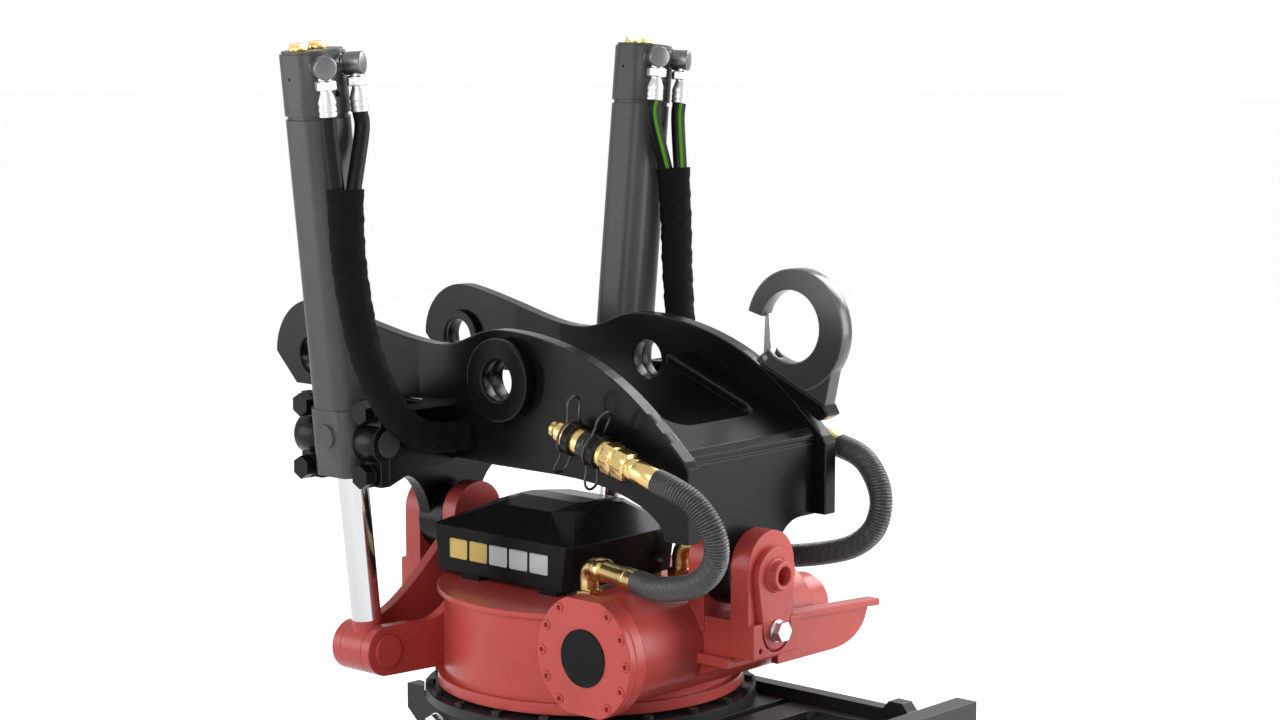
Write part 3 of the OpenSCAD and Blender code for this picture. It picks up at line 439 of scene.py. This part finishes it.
def turned(name: str, rows: Sequence[Row], place: Matrix, segments: int = 72) -> bpy.types.Object:
    """Turns a profile about the local Z axis, with round and six-sided rows.

    Args:
        name: The piece's name.
        rows: Height and radius; a six-sided row gives half its width across flats, and HEX.
        place: Where the profile's axis goes.
        segments: Points on each row, a multiple of six.

    Returns:
        The turned piece.
    """
    sector = TAU / 6
    points: list[Vector] = []
    for height, radius, *six in rows:
        for k in range(segments):
            angle = TAU * k / segments
            reach = radius / math.cos((angle + sector / 2) % sector - sector / 2) if six else radius
            points.append(place @ (Vector((math.cos(angle) * reach, math.sin(angle) * reach, height)) * MM))
    return new_piece(name, points, ring_faces(len(rows), segments))


def smooth_route(points: Sequence[Vector], step: float) -> list[Vector]:
    """Lays an even row of points on a smooth curve through a few given ones.

    Args:
        points: The points to pass through, in metres.
        step: The distance between the new points, in metres.

    Returns:
        The new points, first and last as given.
    """
    ends = [points[0] * 2 - points[1], *points, points[-1] * 2 - points[-2]]
    dense: list[Vector] = []
    for i in range(1, len(ends) - 2):
        a, b, c, d = ends[i - 1:i + 3]
        for k in range(CURVE_STEPS):
            t = k / CURVE_STEPS
            dense.append(0.5 * (2 * b + (c - a) * t + (2 * a - 5 * b + 4 * c - d) * t ** 2
                                + (3 * b - a - 3 * c + d) * t ** 3))
    dense.append(points[-1].copy())
    return evenly(dense, step)


def evenly(dense: Sequence[Vector], step: float) -> list[Vector]:
    """Thins a dense row of points to about one for each step of length."""
    lengths = [0.0]
    for a, b in zip(dense, dense[1:]):
        lengths.append(lengths[-1] + (b - a).length)
    count = max(2, round(lengths[-1] / step))
    found: list[Vector] = []
    j = 0
    for i in range(count + 1):
        target = lengths[-1] * i / count
        while j < len(dense) - 2 and lengths[j + 1] < target:
            j += 1
        span = lengths[j + 1] - lengths[j]
        found.append(dense[j].lerp(dense[j + 1], (target - lengths[j]) / span if span else 0.0))
    return found


def route_length(route: Sequence[Vector]) -> float:
    """The length of a row of points, in metres."""
    return sum((b - a).length for a, b in zip(route, route[1:]))


def transported(route: Sequence[Vector], mark: Vector) -> tuple[list[Vector], list[Vector]]:
    """Carries a direction along a route with as little turning as possible.

    Args:
        route: Even points along the route, in metres.
        mark: The direction to start from.

    Returns:
        The direction of travel and the carried direction, at each point.
    """
    last = len(route) - 1
    steps = [(route[min(i + 1, last)] - route[max(i - 1, 0)]).normalized() for i in range(last + 1)]
    across: list[Vector] = []
    for step in steps:
        mark = (mark - step * mark.dot(step)).normalized()
        across.append(mark)
    return steps, across


def swept(name: str, route: Sequence[Vector], section: Callable[[float, float], float], sides: int,
          mark: Vector) -> bpy.types.Object:
    """Sweeps a closed section along a route.

    Args:
        name: The piece's name.
        route: Even points along the middle, in metres.
        section: The radius in metres at a length along the route and an angle round it.
        sides: Points round the section.
        mark: The direction that the middle of the section's coordinates faces at the start.

    Returns:
        The swept piece, with coordinates round and along it.
    """
    count = len(route)
    steps, across = transported(route, mark)
    points: list[Vector] = []
    lengths = [0.0]
    for i in range(count):
        if i:
            lengths.append(lengths[-1] + (route[i] - route[i - 1]).length)
        other = steps[i].cross(across[i])
        for k in range(sides):
            angle = TAU * k / sides
            reach = section(lengths[-1], angle)
            side = across[i] * (math.cos(angle) * reach) + other * (math.sin(angle) * reach)
            points.append(route[i] - side)
    marks: list[tuple[float, float]] = []
    for i in range(count - 1):
        for k in range(sides):
            marks += [(k / sides, lengths[i]), ((k + 1) / sides, lengths[i]),
                      ((k + 1) / sides, lengths[i + 1]), (k / sides, lengths[i + 1])]
    for end in (lengths[0], lengths[-1]):
        marks += [(0.0, end)] * sides
    return new_piece(name, points, ring_faces(count, sides), marks)


def aimed(origin: Vector, axis: Vector, up: Vector = Vector((0, 0, 1))) -> Matrix:
    """A place whose local Z runs along an axis and whose local X leans towards up."""
    z = axis.normalized()
    x = (up - z * up.dot(z)).normalized()
    return Matrix.Translation(origin) @ Matrix((x, z.cross(x), z)).transposed().to_4x4()


def carry(piece: bpy.types.Object, body: str, finish: Finish) -> None:
    """Finishes a piece and makes it move with a body.

    Args:
        piece: The piece.
        body: The CAD body that carries it.
        finish: Its finish.
    """
    Finishes.dress(piece, finish)
    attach(piece, body)
    LOG.info("piece %s on %s", piece.name, body)


@dataclass
class MainHose:
    """One oil hose in its coiled guard, from the quick coupling round to the brass elbow."""

    side: Side
    diameter: float = 35.0
    pitch: float = 4.0
    groove: float = 2.2
    sides: int = 28
    step: float = 0.7
    lead_out: float = 34.0
    lead_in: float = 46.0
    bends: tuple[Place, ...] = (
        (194, -368, 541), (187, -391, 514), (181, -399, 484), (177, -390, 453), (173, -362, 428),
        (166, -322, 413))
    bend_way: Place = (-200, 220, -162)
    bend_slack: float = 10.0

    def route(self) -> list[Vector]:
        """The hose's middle line, in metres."""
        start, way = QuickCoupling.end_of(self.side)
        stop, out = ValveElbow.end_of(self.side)
        s = self.side.value
        between = [mm(s * x, y, z) for x, y, z in self.bends]
        points = [start, start + way * self.lead_out * MM, *between, stop + out * self.lead_in * MM, stop]
        return smooth_route(points, self.step * MM)

    def build(self) -> None:
        route = self.route()
        outer = self.diameter / 2 * MM

        def coil(along: float, angle: float) -> float:
            """The guard's radius, smaller between its turns."""
            turn = math.cos(TAU * along / (self.pitch * MM) + angle)
            return outer - self.groove * MM * (0.5 - 0.5 * turn) ** 2

        mark = Vector((self.side.value, 0, 0))
        piece = swept(f"hose_guard_{self.side.suffix}", route, coil, self.sides, mark)
        Finishes.dress(piece, GUARD)
        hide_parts(f"main_hose_{self.side.suffix}")
        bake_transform(piece)
        LOG.info("piece %s between hitch and housing, %.3f m", piece.name, route_length(route))


@dataclass
class QuickCoupling:
    """A brass quick coupling on the outside of a side plate, with its steel band and wire clips."""

    side: Side
    length: float = 198.0
    dip: float = 15.3
    rear: Place = (200, -118, 616)
    clips: tuple[tuple[float, float], ...] = ((33.0, -8.0), (82.0, 6.0))
    clip_ring: float = 25.0
    clip_loop: tuple[Place, ...] = (
        (33, -11.5, 0.3), (43, -12.5, 0.6), (52, -10, 0.9), (57, 0, 1.0), (52, 10, 0.9), (43, 12.5, 0.6),
        (33, 11.5, 0.3))
    wire: float = 3.8
    wire_step: float = 1.5
    wire_sides: int = 10

    @classmethod
    def place(cls, side: Side) -> Matrix:
        """The coupling's rear end, with local Z along its length."""
        dip = math.radians(cls.dip)
        x, y, z = cls.rear
        return aimed(mm(side.value * x, y, z), Vector((0, -math.cos(dip), -math.sin(dip))))

    @classmethod
    def end_of(cls, side: Side) -> tuple[Vector, Vector]:
        """The point where the hose starts, and the direction it leaves in."""
        place = cls.place(side)
        return place @ Vector((0, 0, cls.length * MM)), place.to_3x3() @ Vector((0, 0, 1))

    def build(self) -> None:
        """Builds the coupling, its band and its clips."""
        place = self.place(self.side)
        tag = self.side.suffix
        body = turned(f"coupling_{tag}", [
            (0, 9), (1.5, 11.5), (8, 12.5), (9, 10), (13, 10), (14, 15),
            (23, 15.5), (24, 12), (25.5, 12), (26.5, 17), (29, 19.4), (104, 19.8),
            (105, 19), (106, 19.4), (107.5, 20, HEX), (123.5, 20, HEX), (125, 19.4),
            (126, 18.2), (127.5, 19, HEX), (148, 19, HEX), (149.5, 18.2), (151, 14.6),
            (152, 15.6), (160, 16), (161.5, 15.2), (163, 16), (196, 16),
            (self.length, 15)], place)
        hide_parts("quick_couplings")
        carry(body, "hitch", BRASS)
        band = turned(f"coupling_band_{tag}", [
            (62, 20), (62.6, 21.2), (72, 21.4), (73, 20.8), (75, 20.8),
            (76, 21.4), (79.4, 21.2), (80, 20)], place)
        carry(band, "hitch", BAND_STEEL)
        for number, (at, lean) in enumerate(self.clips):
            for way, level in ((1, "upper"), (-1, "lower")):
                self.clip(place, f"coupling_clip_{tag}_{number}_{level}", at, lean, way)

    def clip(self, place: Matrix, name: str, at: float, lean: float, way: int) -> None:
        """Builds one wire clip: half a ring round the coupling, drawn out into a loop.

        Args:
            place: The coupling's place.
            name: The clip's name.
            at: Its distance from the rear end, in millimetres.
            lean: How far its loop leans along the coupling, in millimetres.
            way: 1 for a loop above the coupling, -1 for one below it.
        """
        def arc(start: float) -> list[Vector]:
            """Seven points over 60 degrees of the ring, from a starting angle."""
            angles = (math.radians(start + 10 * k) for k in range(7))
            ring = self.clip_ring
            return [place @ mm(way * math.cos(a) * ring, math.sin(a) * ring, at) for a in angles]

        loop = [place @ mm(way * x, y, at + lean * share) for x, y, share in self.clip_loop]
        route = smooth_route(arc(-90) + loop + arc(30), self.wire_step * MM)
        along = place.to_3x3() @ Vector((0, 0, 1))
        piece = swept(name, route, lambda length, angle: self.wire / 2 * MM, self.wire_sides, along)
        carry(piece, "hitch", WIRE)


@dataclass
class ValveElbow:
    """A brass elbow from under the valve cover to a main hose."""

    side: Side
    length: float = 134.0
    turn: float = 16.5
    corner: Place = (100, -92, 402)
    leg: float = 51.0
    stem: float = 30.0
    bend: float = 16.0
    bend_middle: float = 4.6
    run: float = 32.0
    pipe: float = 28.0
    pipe_step: float = 2.0
    pipe_sides: int = 36

    @classmethod
    def bend_of(cls, side: Side) -> Vector:
        """The corner of the elbow, over the gear housing."""
        x, y, z = cls.corner
        return mm(side.value * x, y, z)

    @classmethod
    def end_of(cls, side: Side) -> tuple[Vector, Vector]:
        """The point where the hose ends, and the direction out of the elbow."""
        turn = math.radians(cls.turn)
        out = Vector((side.value * math.sin(turn), -math.cos(turn), 0))
        return cls.bend_of(side) + out * cls.length * MM, out

    def build(self) -> None:
        """Builds the bent pipe, the nut at its foot and its crimped end."""
        out = self.end_of(self.side)[1]
        corner = self.bend_of(self.side)
        tag = self.side.suffix
        up = Vector((0, 0, 1))
        foot = corner - up * self.leg * MM
        points = [foot, corner - up * self.stem * MM, corner - up * self.bend * MM,
                  corner + (out - up) * self.bend_middle * MM, corner + out * self.bend * MM,
                  corner + out * self.run * MM]
        route = smooth_route(points, self.pipe_step * MM)
        radius = self.pipe / 2 * MM
        tube = swept(f"elbow_pipe_{tag}", route, lambda along, angle: radius, self.pipe_sides, out)
        carry(tube, "housing", BRASS)
        nut = turned(f"elbow_nut_{tag}", [
            (0, 17), (1.5, 18, HEX), (15.5, 18, HEX), (17, 17), (18, 15)], aimed(foot, up, out))
        carry(nut, "housing", BRASS)
        end = turned(f"elbow_end_{tag}", [
            (24, 13), (25, 16.6), (27, 17.4), (44, 17.4), (46, 16.4), (47, 14.4),
            (98, 14.8), (99.5, 15.8), (101, 16.4), (112, 16.4), (113, 15.7),
            (115, 15.7), (116, 16.4), (132.5, 16.4), (self.length, 15.4)], aimed(corner, out))
        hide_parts("block_elbows")
        carry(end, "housing", BRASS)


@dataclass
class CylinderHoses:
    """The two hoses of a tilt cylinder, their fittings, and the sleeve that leads them into the hitch."""

    side: Side
    trunnion: Place = (290.3, 205, 578)
    rod_eye: Place = (257.0, 205, 263.0)
    lean: float = math.atan((trunnion[0] - rod_eye[0]) / (trunnion[2] - rod_eye[2]))
    elbow_turn: float = 28.0
    elbow_reach: float = 63.0
    elbow_height: float = 539.0
    ferrule_low: float = 68.0
    hose: float = 22.0
    spacing: float = 11.0
    sides: int = 24
    step: float = 4.0
    free_end: float = 28.0
    inside_first: int = 2
    inside_every: int = 9
    wide_way: Place = (0.669, -0.743, 0.0)
    left_line: Place = (0.75, -0.66, 0.0)
    right_line: Place = (-0.55, -0.83, 0.0)
    sleeve_wide: float = 25.5
    sleeve_narrows: float = 2.0
    sleeve_deep: float = 15.0
    sleeve_deepens: float = 5.0
    sleeve_sides: int = 36
    flare: float = 1.6
    flare_length: float = 20.0
    sleeve_points: tuple[Place, ...] = (
        (347, 142, 942), (348, 137, 858), (343, 130, 788), (336, 119, 722), (323, 105, 668), (299, 96, 624),
        (268, 92, 597), (226, 92, 583), (162, 92, 579), (126, 92, 579))

    def cylinder(self) -> Matrix:
        """The cylinder's trunnion, with local Z up along the barrel."""
        s = self.side.value
        x, y, z = self.trunnion
        return Matrix.Translation(mm(s * x, y, z)) @ Matrix.Rotation(s * self.lean, 4, "Y")

    def port(self, x: int) -> Matrix:
        """An elbow's middle, with local Z up the barrel and local Y pointing into the head."""
        turn = Matrix.Rotation(math.radians(x * self.elbow_turn), 4, "Z")
        return self.cylinder() @ turn @ Matrix.Translation(mm(0, -self.elbow_reach, self.elbow_height))

    def sleeve_route(self) -> list[Vector]:
        """The sleeve's middle line, in metres."""
        s = self.side.value
        return smooth_route([mm(s * x, y, z) for x, y, z in self.sleeve_points], self.step * MM)

    def hose_route(self, x: int, sleeve: Sequence[Vector], wide: Vector) -> list[Vector]:
        """One hose from its ferrule, through the sleeve, into the hitch.

        Args:
            x: Which hose, -1 or 1.
            sleeve: The sleeve's middle line.
            wide: The direction in which the two hoses lie side by side.

        Returns:
            The hose's middle line, in metres.
        """
        port = self.port(x)
        ferrule = port @ mm(0, 0, -self.ferrule_low)
        below = port @ mm(0, 0, -self.ferrule_low - self.free_end)
        beside = transported(sleeve, wide)[1]
        shifted = [p + across * (x * self.spacing * MM) for p, across in zip(sleeve, beside)]
        inside = shifted[self.inside_first::self.inside_every]
        return smooth_route([ferrule, below, *inside], self.step * MM)

    def build(self) -> None:
        """Builds the fittings, the hoses and the sleeve."""
        tag = self.side.suffix
        body = f"cylinder_{tag}"
        wide = Vector(self.wide_way)
        sleeve = self.sleeve_route()
        facing = Vector(self.right_line if self.side is Side.RIGHT else self.left_line)
        finish = LINED_HOSE if self.side is Side.RIGHT else PLAIN_HOSE
        cover = self.sleeve(sleeve, wide)
        for x in (-1, 1):
            self.fitting(x, body)
            route = self.hose_route(x, sleeve, wide)
            piece = swept(f"cylinder_hose_{tag}_{'front' if x < 0 else 'rear'}", route,
                          lambda along, angle: self.hose / 2 * MM, self.sides, facing)
            Finishes.dress(piece, finish)
            if x < 0:
                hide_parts(f"tilt_hoses_{tag}")
            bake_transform(piece)
            LOG.info("piece %s between %s and hitch, %.3f m", piece.name, body, route_length(route))

    def sleeve(self, route: Sequence[Vector], wide: Vector) -> bpy.types.Object:
        """Builds the woven sleeve, wide and flat at its open top and rounder below.

        Args:
            route: Its middle line.
            wide: The direction of its wide side at the top.

        Returns:
            The sleeve.
        """
        length = route_length(route)

        def section(along: float, angle: float) -> float:
            """The sleeve's radius, with a flare at its top and soft folds."""
            share = along / length
            rounder = min(1.0, share * 2.2)
            half_wide = self.sleeve_wide - self.sleeve_narrows * rounder
            half_deep = self.sleeve_deep + self.sleeve_deepens * rounder
            flare = self.flare * max(0.0, 1.0 - along / (self.flare_length * MM))
            oval = 1.0 / math.sqrt((math.cos(angle) / half_wide) ** 2 + (math.sin(angle) / half_deep) ** 2)
            wide_fold = 0.6 * math.sin(along * 190 + 2.0 * math.sin(angle * 2))
            fine_fold = 0.4 * math.sin(along * 410 + angle * 3)
            return (oval + flare + (wide_fold + fine_fold) * min(1.0, share * 12)) * MM

        piece = swept(f"hose_sleeve_{self.side.suffix}", route, section, self.sleeve_sides, wide)
        Finishes.dress(piece, SLEEVE)
        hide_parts(f"tilt_hoses_{self.side.suffix}")
        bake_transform(piece)
        LOG.info("piece %s between cylinder_%s and hitch", piece.name, self.side.suffix)
        return piece

    def fitting(self, x: int, body: str) -> None:
        """Builds one elbow, its nut and its crimped ferrule.

        Args:
            x: Which hose, -1 or 1.
            body: The cylinder's body.
        """
        port = self.port(x)
        tag = f"{self.side.suffix}_{'front' if x < 0 else 'rear'}"
        into = port @ Matrix.Rotation(math.radians(-90), 4, "X")
        elbow = turned(f"head_elbow_{tag}", [
            (-12, 13), (-11, 15.5), (-9.5, 16.5), (13, 16.5), (14.5, 15.6),
            (15.5, 13), (18, 13), (19, 16), (26, 16)], into)
        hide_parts(f"head_elbows_{self.side.suffix}")
        carry(elbow, body, DARK_STEEL)
        down = port @ Matrix.Rotation(math.pi, 4, "X")
        nut = turned(f"hose_end_{tag}", [
            (10, 9), (17, 9.5), (17.5, 12.6), (19, 13.4, HEX), (29.5, 13.4, HEX), (31, 12.6),
            (31.5, 8.2), (34, 8.2), (36, 9.2), (46, 12.4), (48, 12.8), (51, 12.8),
            (52, 12.1), (54, 12.1), (55, 12.8), (60, 12.8), (61, 12.1),
            (62.5, 12.1), (63.5, 12.8), (67, 12.6), (self.ferrule_low, 11.4)], down)
        carry(nut, body, ZINC)


@dataclass
class CoverPlates:
    """The row of plain plates on the valve cover's near face."""

    width: float = 37.0
    height: float = 30.0
    thick: float = 1.2
    corner: float = 3.0
    corner_points: int = 5
    rim: tuple[tuple[float, float], ...] = ((0.0, 0.0), (0.0, 0.7), (0.5, 1.0), (1.6, 1.0), (2.0, 0.6))
    count: int = 5
    gold: int = 2
    pitch: float = 41.5
    first: float = 157.5
    level: float = 394.9
    face: float = -117.9

    def build(self) -> None:
        """Builds the plates, gold then silver, on the cover's left face."""
        turn = Matrix((Vector((0, -1, 0)), Vector((0, 0, 1)), Vector((-1, 0, 0)))).transposed().to_4x4()
        for number in range(self.count):
            place = Matrix.Translation(mm(self.face, self.first - number * self.pitch, self.level)) @ turn
            piece = self.plate(f"cover_plate_{number}", place)
            carry(piece, "housing", GOLD_PLATE if number < self.gold else SILVER_PLATE)

    def plate(self, name: str, place: Matrix) -> bpy.types.Object:
        """Builds one plate with rounded corners and a raised rim."""
        points: list[Vector] = []
        for inset, share in self.rim:
            r = max(0.6, self.corner - inset)
            for cx, cy, start in ((1, 1, 0), (-1, 1, 90), (-1, -1, 180), (1, -1, 270)):
                for k in range(self.corner_points):
                    a = math.radians(start + 90 * k / (self.corner_points - 1))
                    points.append(place @ mm(cx * (self.width / 2 - inset - r) + r * math.cos(a),
                                             cy * (self.height / 2 - inset - r) + r * math.sin(a),
                                             self.thick * share))
        return new_piece(name, points, ring_faces(len(self.rim), 4 * self.corner_points))


@dataclass
class CoverDisc:
    """The plain enamelled disc in the middle of the worm cover."""

    radius: float = 41.0
    middle: Place = (-213, -185, 302)

    def build(self) -> None:
        """Builds the disc with a rolled rim."""
        place = aimed(mm(*self.middle), Vector((-1, 0, 0)))
        r = self.radius
        disc = turned("cover_disc", [
            (0, r), (1.6, r), (2.4, r - 0.8), (2.4, r - 2.6), (1.7, r - 3.4)], place, 96)
        carry(disc, "housing", DISC_ENAMEL)


GROUND_EDGES: dict[float, tuple[str, ...]] = {
    2.4: ("hitch_side_plate_left", "hitch_side_plate_right", "stick_pin_bosses", "hitch_front_plate",
          "hitch_top_plate", "hook_bracket", "coupler_frame", "valve_cover"),
    7.0: ("lifting_hook",),
    1.6: ("cylinder_head_left", "cylinder_head_right", "worm_cover", "pin_retainers", "motor_guard",
          "link_pin_bosses", "tilt_pins", "trunnion_caps", "trunnion_cap_bolts", "trunnion_collar_left",
          "trunnion_collar_right", "retainer_bolts", "coupler_bolts", "head_plugs_left",
          "head_plugs_right"),
}


@dataclass
class Frame:
    """The CAD nodes that show as they are, with their finishes and ground edges."""

    edge_angle: float = 38.0
    edge_segments: int = 2
    flat_angle: float = 0.6
    weld: float = 0.01

    def dress(self) -> None:
        """Gives each shown CAD node its finish, and breaks the sharp edges of those that are ground."""
        for finish, names in NODE_FINISHES.items():
            for name in names:
                Finishes.dress(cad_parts[name], finish)
        for width, names in GROUND_EDGES.items():
            for name in names:
                self.grind(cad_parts[name], width)
        LOG.info("dressed %d CAD nodes", sum(len(names) for names in NODE_FINISHES.values()))

    def grind(self, node: bpy.types.Object, width: float) -> None:
        """Rounds a node's sharp edges a little.

        Args:
            node: The CAD node.
            width: The width of the rounded edge, in millimetres.
        """
        weld = node.modifiers.new("closed_shell", "WELD")
        weld.merge_threshold = self.weld * MM
        whole = node.modifiers.new("whole_faces", "DECIMATE")
        whole.decimate_type = "DISSOLVE"
        whole.angle_limit = math.radians(self.flat_angle)
        edge = node.modifiers.new("ground_edges", "BEVEL")
        edge.width = width * MM
        edge.segments = self.edge_segments
        edge.limit_method = "ANGLE"
        edge.angle_limit = math.radians(self.edge_angle)
        edge.harden_normals = False


@dataclass
class Studio:
    """The camera, the white surroundings and the soft lights."""

    camera_at: Place = (-2.8291, -2.6466, 1.1908)
    azimuth: float = -48.0
    pitch: float = 7.5
    focal_pixels: float = 2660.0
    image_width: float = 1280.0
    sensor: float = 36.0
    ambient: float = 0.20
    floor_half: float = 30.0
    floor_tone: float = 0.80
    floor_glow: float = 0.75

    def build(self) -> None:
        """Sets up the picture."""
        self.camera()
        self.world()
        self.floor()
        self.lamp("key", at=(-3.6, -0.9, 2.0), towards=(0, 0, 0.5), size=2.2, watts=84.0)
        self.lamp("side", at=(-2.6, 2.6, 1.0), towards=(0, 0, 0.55), size=1.6, watts=36.0)
        self.lamp("front", at=(2.4, -3.2, 1.3), towards=(0, 0, 0.5), size=2.4, watts=120.0)
        self.lamp("top", at=(2.4, -0.3, 2.4), towards=(0, 0, 0.6), size=1.8, watts=95.0)
        bpy.context.scene.view_settings.view_transform = "Standard"

    def camera(self) -> None:
        """Places the camera at the picture's own viewpoint."""
        lens = bpy.data.cameras.new("camera")
        lens.sensor_width = self.sensor
        lens.lens = lens.sensor_width * self.focal_pixels / self.image_width
        view = bpy.data.objects.new("camera", lens)
        bpy.context.scene.collection.objects.link(view)
        a, e = math.radians(self.azimuth), math.radians(self.pitch)
        back = Vector((math.sin(a) * math.cos(e), -math.cos(a) * math.cos(e), math.sin(e)))
        view.location = self.camera_at
        view.rotation_euler = (-back).to_track_quat("-Z", "Y").to_euler()
        bpy.context.scene.camera = view

    def world(self) -> None:
        """Makes the surroundings white to the eye and to reflections, and softer as light."""
        world = bpy.data.worlds.new("studio")
        bpy.context.scene.world = world
        world.use_nodes = True
        nodes, links = world.node_tree.nodes, world.node_tree.links
        ground = next(n for n in nodes if n.type == "BACKGROUND")
        path = nodes.new("ShaderNodeLightPath")
        seen = path.outputs["Is Camera Ray"]
        for name in ("Is Glossy Ray", "Is Transmission Ray"):
            add = nodes.new("ShaderNodeMath")
            add.operation = "MAXIMUM"
            links.new(seen, add.inputs[0])
            links.new(path.outputs[name], add.inputs[1])
            seen = add.outputs[0]
        strength = nodes.new("ShaderNodeMapRange")
        strength.inputs[3].default_value = self.ambient
        strength.inputs[4].default_value = 1.0
        links.new(seen, strength.inputs[0])
        links.new(strength.outputs[0], ground.inputs["Strength"])
        ground.inputs["Color"].default_value = (1.0, 1.0, 1.0, 1.0)

    def floor(self) -> None:
        """Lays the pale floor under the coupler."""
        half, tone = self.floor_half, self.floor_tone
        corners = [Vector((x * half, y * half, 0.0)) for x, y in ((-1, -1), (1, -1), (1, 1), (-1, 1))]
        floor = new_piece("studio_floor", corners, [(0, 1, 2, 3)])
        shader = Shader("studio_floor")
        shader.set(Base_Color=(tone, tone, tone, 1.0), Roughness=0.9, Emission_Color=(1.0, 1.0, 1.0, 1.0))
        path = shader.add("ShaderNodeLightPath")
        seen = shader.maths("MAXIMUM", path.outputs["Is Camera Ray"], path.outputs["Is Glossy Ray"])
        seen = shader.maths("MAXIMUM", seen, path.outputs["Is Transmission Ray"])
        shader.set(Emission_Strength=shader.spread(seen, 0.0, self.floor_glow))
        floor.data.materials.append(shader.material)

    def lamp(self, name: str, at: Place, towards: Place, size: float, watts: float) -> None:
        """Adds one soft square lamp.

        Args:
            name: The lamp's name.
            at: Its place, in metres.
            towards: The point that it faces.
            size: Its width, in metres.
            watts: Its power.
        """
        light = bpy.data.lights.new(name, "AREA")
        light.size = size
        light.energy = watts
        lamp = bpy.data.objects.new(name, light)
        bpy.context.scene.collection.objects.link(lamp)
        lamp.location = at
        lamp.rotation_euler = (Vector(towards) - Vector(at)).to_track_quat("-Z", "Y").to_euler()


def main() -> None:
    """Builds the picture: the studio, the hoses, the frame's finishes and the small pieces."""
    logging.basicConfig(level=logging.INFO, format="%(message)s")
    Studio().build()
    for side in Side:
        MainHose(side).build()
        CylinderHoses(side).build()
        QuickCoupling(side).build()
        ValveElbow(side).build()
    Frame().dress()
    CoverPlates().build()
    CoverDisc().build()


if __name__ == "__main__":
    main()
